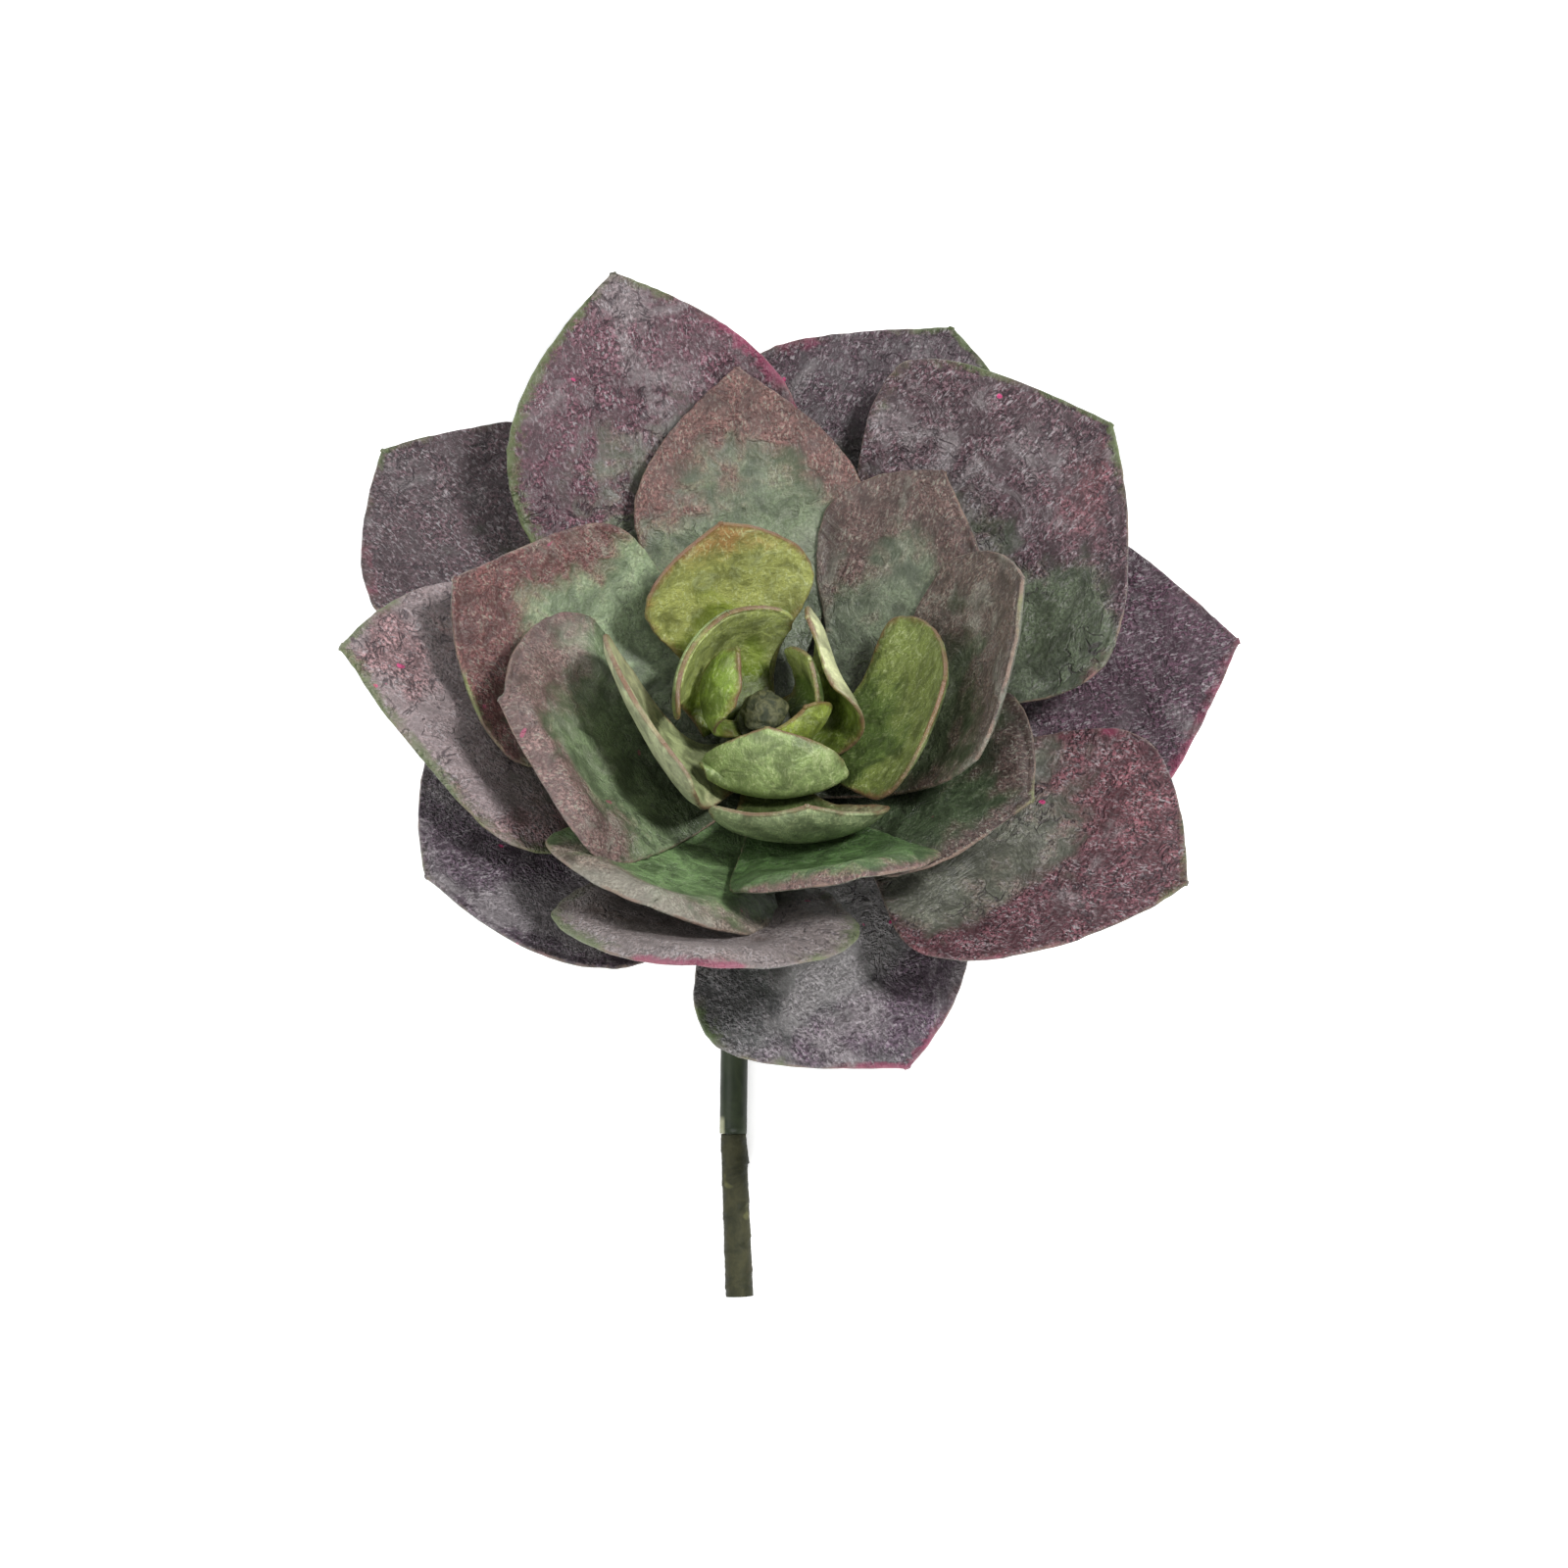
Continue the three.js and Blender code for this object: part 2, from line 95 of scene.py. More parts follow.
def turned(vectors, axes, angles):
    """Each vector turned about its own unit axis."""
    cosines = np.cos(angles)[:, None]
    sines = np.sin(angles)[:, None]
    along_axis = axes * np.sum(axes * vectors, axis=1, keepdims=True)
    return vectors * cosines + np.cross(axes, vectors) * sines + along_axis * (1 - cosines)


def midrib(leaf, root_radius, hub_height, along):
    """Points down the middle of the leaf, from the hub to the tip, and the way ahead at each."""
    start = direction(leaf["root"], 0) * root_radius + np.array([0, 0, hub_height])
    end = direction(leaf["tip"], 0) * leaf["reach"] + np.array([0, 0, leaf["rise"]])
    span = np.linalg.norm(end - start)
    heading = leaf["tip"] if leaf["heading"] is None else leaf["heading"]
    second = start + direction(leaf["root"], leaf["out"]) * span * leaf["swell"]
    third = end - direction(heading, leaf["up"]) * span * leaf["hook"]
    t = along[:, None]
    rib = (1 - t) ** 3 * start + 3 * (1 - t) ** 2 * t * second
    rib += 3 * (1 - t) * t * t * third + t ** 3 * end
    forward = 3 * (1 - t) ** 2 * (second - start) + 6 * (1 - t) * t * (third - second)
    forward += 3 * t * t * (end - third)
    return rib, forward / np.linalg.norm(forward, axis=1, keepdims=True)


def half_widths(leaf, along, across):
    """Half the leaf's width at each point of the grid, on the side where that point lies."""
    shares = []
    for wide, shoulder, side_share in zip(leaf["wide"], leaf["shoulder"], leaf["side"]):
        rising = np.sin(math.pi / 2 * np.minimum(along / wide, 1)) ** leaf["waist"]
        falling = 1 - (np.maximum(along - wide, 0) / (1 - wide)) ** shoulder
        outline = np.where(along < wide, leaf["foot"] + (1 - leaf["foot"]) * rising, falling)
        shares.append(side_share * outline)
    share = np.where(across[None, :] < 0, shares[0][:, None], shares[1][:, None])
    return np.maximum(leaf["width"] / 2 * share, TIP_HALF_WIDTH)


def leaf_middle(leaf, root_radius, hub_height, along, across):
    """The middle of the blade's thickness on a grid, and each point's distance from the outline."""
    rib, forward = midrib(leaf, root_radius, hub_height, along)
    side = direction(leaf["root"] + 90, 0)
    side = side - forward * (forward @ side)[:, None]
    side /= np.linalg.norm(side, axis=1, keepdims=True)
    side = turned(side, forward, math.radians(leaf["twist"]) * np.minimum(along / TWIST_OVER, 1))
    normal = np.cross(forward, side)
    half = half_widths(leaf, along, across)
    fullness = np.maximum(half / (leaf["width"] / 2), 0.05)
    cup = leaf["cup"] * np.clip(along / CUP_OVER, 0.02, 1)[:, None] * fullness
    sideways = half * np.sin(cup * across) / cup
    upwards = half * (1 - np.cos(cup * across)) / cup
    middle = rib[:, None] + side[:, None] * sideways[..., None] + normal[:, None] * upwards[..., None]
    return middle, half * (1 - np.abs(across))


def spots(marks, along, across):
    """Soft spots on a leaf, each given by its place along and across, its two sizes and a strength."""
    total = np.zeros((len(along), len(across)))
    for place_along, place_across, length, width, strength in marks:
        far = ((along[:, None] - place_along) / length) ** 2
        total += strength * np.exp(-far - ((across[None, :] - place_across) / width) ** 2)
    return total


def grid_normals(points):
    """The unit normal at each point of a grid."""
    normals = np.cross(np.gradient(points, axis=0), np.gradient(points, axis=1))
    return normals / np.maximum(np.linalg.norm(normals, axis=2, keepdims=True), 1e-12)


def waves(points, size, seed):
    """A smooth random height at each point, from about -1 to 1."""
    shift = Vector((seed * 7.3, seed * 3.1, seed * 1.7))
    return np.array([noise.noise(Vector(p) / size + shift) for p in points.reshape(-1, 3)]).reshape(
        points.shape[:-1]
    )


def shaped_middle(leaf, flat, inset, along, across, seed):
    """The smooth middle with slow waves, rolled lips, a raised bead along the rim, and nicks in it."""
    lift = waves(flat, LONG_WAVE, seed)
    lift += 0.4 * waves(flat, SHORT_WAVE, seed + 40)
    lift += 0.2 * waves(flat, RIPPLE, seed)
    lift *= leaf["wave"]
    lift *= fade(*WAVES_GROW, along)[:, None]
    roll = np.where(across[None, :] < 0, *leaf["roll"]) * fade(*LIPS_GROW, along)[:, None]
    lift += roll * (0.5 - (1 - np.clip(inset / leaf["roll_width"], 0, 1)) ** 1.4)
    lift += leaf["bead"] * (1 - fade(BEAD_FROM, BEAD_TO, inset)) * fade(*BEAD_GROWS, along)[:, None]
    ragged = waves(flat, NICK_LENGTH, seed + 80) * NICK_DEPTH
    outward = np.sign(across)[None, :, None] * np.gradient(flat, axis=1)
    outward /= np.maximum(np.linalg.norm(outward, axis=2, keepdims=True), 1e-12)
    near_rim = (1 - fade(0, NICKED_BAND, inset)) * fade(*NICKS_GROW, along)[:, None]
    return flat + grid_normals(flat) * lift[..., None] + outward * (ragged * near_rim)[..., None]


def half_thickness(leaf, inset, along):
    """Half the leaf's thickness, which is fuller at the foot and rounds off at the rim."""
    body = leaf["thick"] + FOOT_EXTRA * (1 - fade(0, 0.3, along))[:, None]
    full = RIM_THICKNESS + (body - RIM_THICKNESS) * fade(0, RIM_TAPER, inset)
    rounding = np.sqrt(1 - (1 - np.clip(inset / RIM_ROUNDING, 0, 1)) ** 2)
    return full * rounding / 2


def two_skins(middle, lifted):
    """An upper and a lower skin that share the grid's border, and which points lie inside it."""
    numbers = np.arange(middle[..., 0].size).reshape(middle.shape[:2])
    inner = np.zeros_like(numbers, dtype=bool)
    inner[1:-1, 1:-1] = True
    lower = numbers.copy()
    lower[inner] = numbers.size + np.arange(inner.sum())
    points = np.concatenate([(middle + lifted).reshape(-1, 3), (middle - lifted)[inner]])
    top = np.stack([numbers[:-1, :-1], numbers[1:, :-1], numbers[1:, 1:], numbers[:-1, 1:]], axis=-1)
    bottom = np.stack([lower[:-1, :-1], lower[:-1, 1:], lower[1:, 1:], lower[1:, :-1]], axis=-1)
    return points, np.concatenate([top.reshape(-1, 4), bottom.reshape(-1, 4)]), inner


def paint_guides(leaf, flat, inset, along, across, inner, seed):
    """What the paint follows at each point of both skins.

    The guides say how far the point lies from the rim, which paints it takes, and where it lies
    along and across the leaf, in metres, for the grain of the frost.
    """
    clockwise, tip, other = leaf["rim"]
    side_tint = np.where(across[None, :] < 0, clockwise, other)
    tint = side_tint + (tip - side_tint) * fade(TIP_TINT_FROM, TIP_TINT_FULL, along)[:, None]
    past_base = along[:, None] + BASE_ARCH * across[None, :] ** 2 - leaf["reach_of_base"]
    foot_frost = FOOT_FROST + (1 - FOOT_FROST) * fade(0.2, 0.6, along)
    guides = {
        "inset": inset,
        "rim_tint": tint,
        "blade_share": past_base / PAINT_BLEND + 0.5 - spots(leaf["base_spots"], along, across),
        "blush_share": spots(leaf["blush_spots"], along, across),
        "frost_share": leaf["frost"] * foot_frost[:, None] + spots(leaf["frost_spots"], along, across),
    }
    guides = {name: np.concatenate([g.reshape(-1), g[inner]]) for name, g in guides.items()}
    for paint in ("base_paint", "blade_paint", "blush"):
        guides[paint] = np.tile((*leaf[paint], 1), (inner.size + inner.sum(), 1))
        guides[paint][inner.size:, :3] = leaf["back_paint"]
    # The base paint darkens towards the foot: partly deeper green paint, partly painted shade where the
    # leaves overlap.
    shade = FOOT_SHADE + (1 - FOOT_SHADE) * fade(0.1, 0.45, along)
    guides["base_paint"][:inner.size, :3] *= np.repeat(shade, len(across))[:, None]
    steps = np.linalg.norm(np.diff(flat[:, len(across) // 2], axis=0), axis=1)
    length = np.concatenate([[0], np.cumsum(steps)])[:, None] * np.ones(len(across))
    half_width = inset / np.maximum(1 - np.abs(across), 1e-6)
    grain = np.stack([length, half_width * across, length * 0 + seed * 90, length * 0 + 1000], axis=-1)
    guides["grain_place"] = np.concatenate([grain.reshape(-1, 4), grain[inner]]) / 1000
    return guides


def leaf_shell(leaf, root_radius, hub_height, cells, seed):
    """One leaf's vertices, faces and paint guides."""
    rows, columns = cells
    along = np.sin(math.pi / 2 * np.linspace(0, 1, rows + 1))
    across = np.sin(math.pi / 2 * np.linspace(-1, 1, columns + 1))
    flat, inset = leaf_middle(leaf, root_radius, hub_height, along, across)
    middle = shaped_middle(leaf, flat, inset, along, across, seed)
    lifted = grid_normals(middle) * half_thickness(leaf, inset, along)[..., None]
    lifted[0] = lifted[-1] = 0
    lifted[:, 0] = lifted[:, -1] = 0
    points, faces, inner = two_skins(middle, lifted)
    return points, faces, paint_guides(leaf, flat, inset, along, across, inner, seed)


def hub_shell(inner, outer, low, high, sides=48):
    """A flat round ring with its upper and lower edges eased."""
    flat = outer - HUB_EDGE_EASE
    profile = [
        (inner, low), (flat, low), (outer, low + HUB_EDGE_EASE), (outer, high - HUB_EDGE_EASE),
        (flat, high), (inner, high),
    ]
    angles = np.linspace(0, 2 * math.pi, sides, endpoint=False)
    points = np.array([[r * math.cos(a), r * math.sin(a), z] for a in angles for r, z in profile])
    count = len(profile)
    faces = np.array([
        [i * count + j, (i + 1) % sides * count + j,
         (i + 1) % sides * count + (j + 1) % count, i * count + (j + 1) % count]
        for i in range(sides) for j in range(count)
    ])
    blank = np.zeros(len(points))
    guides = {
        "inset": blank + FAR_FROM_RIM, "rim_tint": blank, "blade_share": blank, "blush_share": blank,
        "frost_share": blank,
    }
    for paint in ("base_paint", "blade_paint", "blush"):
        guides[paint] = np.tile((*plain_leaf["back_paint"], 1), (len(points), 1))
    guides["grain_place"] = np.concatenate([points / 1000, np.ones((len(points), 1))], axis=1)
    return points, faces, guides


def piece(name, points, faces, guides, material, nodes):
    """A smooth mesh in metres that rides on the plant and stands for the named solids."""
    mesh = bpy.data.meshes.new(name)
    mesh.from_pydata((np.asarray(points) / 1000).tolist(), [], [list(map(int, f)) for f in faces])
    mesh.polygons.foreach_set("use_smooth", np.ones(len(mesh.polygons), dtype=bool))
    for guide, values in guides.items():
        values = np.asarray(values, dtype=np.float32)
        kind, field = ("FLOAT", "value") if values.ndim == 1 else ("FLOAT_COLOR", "color")
        mesh.attributes.new(guide, kind, "POINT").data.foreach_set(field, values.ravel())
    mesh.materials.append(material)
    made = bpy.data.objects.new(name, mesh)
    bpy.context.scene.collection.objects.link(made)
    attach(made, "root")
    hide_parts(*nodes)
    return made


def leaf_ring(name, node, material, index, hub_radius, root_radius, cells, leaves):
    """One ring of leaves on its hub, index steps up the rosette's axis."""
    middle = index * RING_PITCH
    low, high = middle - HUB_HEIGHT / 2, middle + HUB_HEIGHT / 2
    shells = [hub_shell(HUB_BORE, hub_radius, low, high)]
    for number, leaf in enumerate(leaves):
        seed = index * 10 + number
        shells.append(leaf_shell({**plain_leaf, **leaf}, root_radius, middle, cells, seed))
    offsets = np.cumsum([0] + [len(points) for points, faces, guides in shells[:-1]])
    points = np.concatenate([points for points, faces, guides in shells])
    faces = np.concatenate([shell[1] + offset for shell, offset in zip(shells, offsets)])
    guides = {key: np.concatenate([shell[2][key] for shell in shells]) for key in shells[0][2]}
    turn = np.array(rosette.to_3x3())
    points = points @ turn.T + np.array(rosette.translation)
    points[:, 2] = np.maximum(points[:, 2], 0)
    return piece(name, points, faces, guides, material, [node])


def add(tree, kind, values=None, **settings):
    """A new node whose inputs are set, or linked where the value is a socket."""
    made = tree.nodes.new(kind)
    for key, value in settings.items():
        setattr(made, key, value)
    for key, value in (values or {}).items():
        if isinstance(value, bpy.types.NodeSocket):
            tree.links.new(value, made.inputs[key])
        else:
            made.inputs[key].default_value = value
    return made


def calc(tree, operation, *values, clamp=False):
    """The result of one sum on numbers or sockets."""
    made = add(tree, "ShaderNodeMath", dict(enumerate(values)), operation=operation, use_clamp=clamp)
    return made.outputs[0]


def eased(tree, value, low, high, start=0.0, end=1.0):
    """start below low, end above high, and a smooth change between."""
    inputs = {"Value": value, "From Min": low, "From Max": high, "To Min": start, "To Max": end}
    return add(tree, "ShaderNodeMapRange", inputs, interpolation_type="SMOOTHSTEP").outputs[0]


def mixed(tree, share, first, second, blend_type="MIX"):
    """One colour laid over another."""
    values = {0: share, 6: first, 7: second}
    made = add(tree, "ShaderNodeMix", values, data_type="RGBA", blend_type=blend_type)
    return made.outputs[2]


def cloud(tree, place, scale, detail=3.0, rough=0.55, distortion=0.0, noise_type="FBM"):
    """A soft random pattern about a half, with scale patches to the metre."""
    values = {
        "Vector": place, "Scale": scale, "Detail": detail, "Roughness": rough,
        "Distortion": distortion,
    }
    return add(tree, "ShaderNodeTexNoise", values, noise_type=noise_type).outputs["Fac"]


def stirred(tree, value, pattern, strength):
    """value, pushed up and down as a pattern swings about a half."""
    return calc(tree, "MULTIPLY_ADD", calc(tree, "SUBTRACT", pattern, 0.5), strength, value)


def bumped(tree, shader, height, strength, distance):
    """Fine relief in a material's skin."""
    values = {"Height": height, "Strength": strength, "Distance": distance}
    relief = add(tree, "ShaderNodeBump", values).outputs["Normal"]
    tree.links.new(relief, shader.inputs["Normal"])


def new_group(name, inputs, outputs):
    """An empty shader group, with its input and output nodes."""
    tree = bpy.data.node_groups.new(name, "ShaderNodeTree")
    for label, kind in inputs.items():
        tree.interface.new_socket(label, in_out="INPUT", socket_type="NodeSocket" + kind)
    for label, kind in outputs.items():
        tree.interface.new_socket(label, in_out="OUTPUT", socket_type="NodeSocket" + kind)
    return tree, tree.nodes.new("NodeGroupInput").outputs, tree.nodes.new("NodeGroupOutput").inputs


def placed(tree, group, values):
    """The outputs of a shader group that is put into a material with its own values."""
    return add(tree, "ShaderNodeGroup", values, node_tree=group).outputs


def finish_material(name):
    """A new material, its tree and its shader, and the place of a point on the plant in metres."""
    material = bpy.data.materials.new(name)
    material.use_nodes = True
    tree = material.node_tree
    shader = tree.nodes["Principled BSDF"]
    place = tree.nodes.new("ShaderNodeTexCoord").outputs["Object"]
    return material, tree, shader, place


# The frost
# A pale powder brushed on dry over the paint of the leaves and, thinly, over the stem. It catches
# in flecks as fine as hairs and in short strokes, thick in some clouds and absent in others. The
# leaf plastic paints the strokes lighter than the frost: pale hairs of frost and painted glints.
frost_group, given, out = new_group(
    "frost",
    {"Place": "Vector", "Grain Place": "Vector", "Fleck Scale": "Float", "Cloud Scale": "Float",
     "Cover": "Float", "Grain": "Float"},
    {"Share": "Float", "Fleck": "Float", "Cloud": "Float", "Speckle": "Float", "Glint Hair": "Float"},
)
drawn = add(
    frost_group, "ShaderNodeVectorMath", {0: given["Grain Place"], 1: (0.42, 1, 1)}, operation="MULTIPLY",
).outputs[0]
fibre = cloud(frost_group, drawn, given["Fleck Scale"], 2.0, 0.6, 1.1, "RIDGED_MULTIFRACTAL")
fibre = eased(frost_group, fibre, 0.6, 1.4)
fine = calc(frost_group, "MULTIPLY", given["Fleck Scale"], 1.7)
speckle = eased(frost_group, cloud(frost_group, given["Place"], fine, 2.0, 0.7), 0.38, 0.62)
drift = cloud(frost_group, given["Place"], given["Cloud Scale"], detail=8.0, rough=0.68, distortion=0.9)
least = calc(frost_group, "MULTIPLY_ADD", given["Cover"], -0.4, 0.7)
most = calc(frost_group, "ADD", least, 0.16)
clouded = eased(frost_group, drift, least, most)
hairs = calc(frost_group, "MULTIPLY", fibre, given["Grain"])
flecked = calc(frost_group, "MULTIPLY_ADD", hairs, 0.8, 0.3)
peppered = calc(frost_group, "MULTIPLY", speckle, given["Grain"])
flecked = calc(frost_group, "MULTIPLY_ADD", peppered, 0.3, flecked)
sparse = calc(frost_group, "MULTIPLY", calc(frost_group, "MULTIPLY", hairs, speckle), 0.9)
share = calc(frost_group, "MULTIPLY_ADD", clouded, flecked, sparse, clamp=True)
# The short strokes: pale hairs of frost, which the leaf plastic also paints as glints.
stroke_scale = calc(frost_group, "MULTIPLY", given["Fleck Scale"], 2.3)
stroke = cloud(frost_group, drawn, stroke_scale, 2.0, 0.5, 0.9)
stroke = calc(frost_group, "MULTIPLY", eased(frost_group, stroke, 0.54, 0.66), given["Grain"])
frost_group.links.new(share, out["Share"])
frost_group.links.new(stroke, out["Glint Hair"])
frost_group.links.new(fibre, out["Fleck"])
frost_group.links.new(drift, out["Cloud"])
frost_group.links.new(speckle, out["Speckle"])

# The crinkles
# Short thin creases in the leaves, where the plastic's skin shrank in the mould. They crowd
# together in patches and leave the rest of a leaf smooth. The leaf plastic sinks them into its bump
# and darkens them with painted shade.
crinkle_group, given, out = new_group(
    "crinkles",
    {"Place": "Vector", "Scale": "Float", "Patch Scale": "Float"},
    {"Crease": "Float"},
)
field = cloud(crinkle_group, given["Place"], given["Scale"], detail=3.0, rough=0.55, distortion=0.9)
apart = calc(crinkle_group, "ABSOLUTE", calc(crinkle_group, "SUBTRACT", field, 0.5))
thin = eased(crinkle_group, apart, 0.004, 0.03, 1.0, 0.0)
patch = eased(crinkle_group, cloud(crinkle_group, given["Place"], given["Patch Scale"]), 0.42, 0.55)
broken = calc(crinkle_group, "MULTIPLY", given["Scale"], 1.7)
broken = eased(crinkle_group, cloud(crinkle_group, given["Place"], broken, 1.0), 0.4, 0.55)
patch = calc(crinkle_group, "MULTIPLY", patch, broken)
crinkle_group.links.new(calc(crinkle_group, "MULTIPLY", thin, patch), out["Crease"])

# The trimmed edge
# Each leaf is cut out along its outline. The bare plastic shows on the cut as a thin worn line,
# and inside it runs a band of paint, green, brown or pink.
edge_group, given, out = new_group(
    "trimmed_edge",
    {"Place": "Vector", "Inset": "Float", "Tint": "Float", "Line Width": "Float",
     "Band Width": "Float", "Green": "Color", "Brown": "Color", "Pink": "Color"},
    {"Line": "Float", "Band": "Float", "Line Colour": "Color", "Band Colour": "Color"},
)
tint = stirred(edge_group, given["Tint"], cloud(edge_group, given["Place"], 120.0), 0.9)
greenish = mixed(edge_group, eased(edge_group, tint, 0.15, 0.4), given["Green"], given["Brown"])
tinted = mixed(edge_group, eased(edge_group, tint, 0.68, 0.9), greenish, given["Pink"])
wobble = eased(edge_group, cloud(edge_group, given["Place"], 650.0, 4.0, 0.7), 0.35, 0.65, 0.35, 1.3)
line_end = calc(edge_group, "MULTIPLY", given["Line Width"], wobble)
line = eased(edge_group, given["Inset"], 0.05, line_end, 1.0, 0.0)
worn = eased(edge_group, cloud(edge_group, given["Place"], 140.0, 4.0, 0.7), 0.42, 0.58, 0.0, 1.0)
line = calc(edge_group, "MULTIPLY", line, worn)
band_end = calc(edge_group, "MULTIPLY", given["Band Width"], wobble)
band = eased(edge_group, given["Inset"], 0.2, band_end, 1.0, 0.0)
apart = calc(edge_group, "ABSOLUTE", calc(edge_group, "SUBTRACT", tint, 0.52))
plain = eased(edge_group, apart, 0.12, 0.4)
edge_group.links.new(line, out["Line"])
edge_group.links.new(calc(edge_group, "MULTIPLY", band, plain), out["Band"])
bare_plastic = (0.36, 0.3, 0.22, 1)
edge_group.links.new(mixed(edge_group, 0.18, tinted, bare_plastic), out["Line Colour"])
edge_group.links.new(tinted, out["Band Colour"])


# The painted plastic
# Soft moulded plastic, sprayed with one paint at the foot and another on the blade and blushed in
# places. Over the paints lie frost, creases, pink specks and the trimmed edge; the creases and the
# hollows of the lumps are darkened with painted shade, and the frost's pale strokes carry painted
# glints. The rings take three mixes of it.
BROAD_PATCHES, LUMPS, CREASE_SCALE, CREASE_PATCHES, SPECK_SCALE = 60.0, 260.0, 260.0, 65.0, 300.0
GLINT_HAIR_STRENGTH, CREASE_STRENGTH, BAND_STRENGTH, LINE_STRENGTH = 0.36, 0.7, 0.7, 0.8
CREASE_SHADE = (0.04, 0.028, 0.035, 1)
SPECK_PINK = (0.5, 0.05, 0.17, 1)


def guide(tree, label, output="Fac"):
    """One of the paint guides that a ring's mesh carries."""
    return add(tree, "ShaderNodeAttribute", attribute_name=label).outputs[output]


def sprayed_paint(tree, place, lumps):
    """The base, blade and blush paints, and how far the blade's paint hides the base."""
    broad = cloud(tree, place, BROAD_PATCHES, detail=3.0, distortion=0.6)
    border = stirred(tree, guide(tree, "blade_share"), broad, 1.5)
    border = stirred(tree, border, lumps, 0.8)
    painted = eased(tree, border, 0.3, 0.7)
    colour = mixed(tree, painted, guide(tree, "base_paint", "Color"), guide(tree, "blade_paint", "Color"))
    warmth = eased(tree, stirred(tree, guide(tree, "blush_share"), lumps, 1.1), 0.2, 0.8)
    return mixed(tree, warmth, colour, guide(tree, "blush", "Color")), painted


def shaded(tree, colour, share):
    """A colour with its brightness multiplied by a share."""
    grey = add(tree, "ShaderNodeCombineColor", {"Red": share, "Green": share, "Blue": share})
    return mixed(tree, 1.0, colour, grey.outputs[0], "MULTIPLY")


def leaf_plastic(
    name, frost, hair_glint, creases, edge, band_width, line_width, fleck_scale, cloud_scale, grain, mottle,
):
    """Painted leaf plastic under frost, creases, specks of pink paint and the trimmed edge, with painted
    shade in the creases and the lumps' hollows and painted glints on the frost's strokes.
    """
    material, tree, shader, place = finish_material(name)
    lumps = cloud(tree, place, LUMPS, detail=5.0, rough=0.6, distortion=0.5)
    colour, painted = sprayed_paint(tree, place, lumps)
    coarse = calc(tree, "MULTIPLY", calc(tree, "MULTIPLY_ADD", painted, 0.55, 0.45), grain)
    coarse = calc(tree, "MULTIPLY", coarse, eased(tree, lumps, 0.36, 0.64, 0.45, 1.4))
    frosting = placed(tree, frost_group, {
        "Place": place, "Grain Place": guide(tree, "grain_place", "Vector"),
        "Fleck Scale": fleck_scale, "Cloud Scale": cloud_scale,
        "Cover": guide(tree, "frost_share"), "Grain": coarse,
    })
    speckle = calc(tree, "MULTIPLY", calc(tree, "SUBTRACT", frosting["Speckle"], 0.5), coarse)
    # The paint is darker in the lumps' hollows and lighter on their crowns, which the bump below raises:
    # painted shade and painted light on the relief, freckled by the speckle.
    lump_shade_and_speckle = eased(tree, lumps, 0.34, 0.62, 0.55, 1.25)
    lump_shade_and_speckle = calc(tree, "MULTIPLY", lump_shade_and_speckle, calc(tree, "MULTIPLY_ADD", speckle, mottle, 0.97))
    colour = mixed(tree, frosting["Share"], shaded(tree, colour, lump_shade_and_speckle), frost)
    # Strokes laid on lighter than the frost: pale hairs of frost and painted glints.
    hairs = calc(tree, "MULTIPLY", frosting["Glint Hair"], GLINT_HAIR_STRENGTH, clamp=True)
    colour = mixed(tree, hairs, colour, hair_glint)
    crinkles = {"Place": place, "Scale": CREASE_SCALE, "Patch Scale": CREASE_PATCHES}
    crease = calc(tree, "MULTIPLY", placed(tree, crinkle_group, crinkles)["Crease"], creases)
    # The creases are painted dark brown: painted shade in their grooves.
    colour = mixed(tree, calc(tree, "MULTIPLY", crease, CREASE_STRENGTH), colour, CREASE_SHADE)
    specks = eased(tree, cloud(tree, place, SPECK_SCALE, detail=1.0), 0.775, 0.79)
    colour = mixed(tree, calc(tree, "MULTIPLY", specks, creases), colour, SPECK_PINK)
    green, brown, pink = edge
    edging = placed(tree, edge_group, {
        "Place": place, "Inset": guide(tree, "inset"), "Tint": guide(tree, "rim_tint"),
        "Line Width": line_width, "Band Width": band_width,
        "Green": green, "Brown": brown, "Pink": pink,
    })
    band = calc(tree, "MULTIPLY", edging["Band"], BAND_STRENGTH)
    colour = mixed(tree, band, colour, edging["Band Colour"])
    line = calc(tree, "MULTIPLY", edging["Line"], LINE_STRENGTH)
    colour = mixed(tree, line, colour, edging["Line Colour"])
    tree.links.new(colour, shader.inputs["Base Color"])
    rough = eased(tree, frosting["Share"], 0.0, 0.7, 0.34, 0.6)
    tree.links.new(rough, shader.inputs["Roughness"])
    shader.inputs["Specular IOR Level"].default_value = 0.5
    rough_skin = calc(tree, "MULTIPLY_ADD", speckle, 0.5, frosting["Fleck"])
    rough_skin = calc(tree, "MULTIPLY", calc(tree, "MULTIPLY", rough_skin, coarse), 0.2 * mottle + 0.05)
    height = calc(tree, "MULTIPLY_ADD", lumps, 0.65, rough_skin)
    height = calc(tree, "MULTIPLY_ADD", frosting["Cloud"], 120 / cloud_scale, height)
    height = calc(tree, "MULTIPLY_ADD", crease, -0.4, height)
    bumped(tree, shader, height, 0.9, 0.001)
    return material


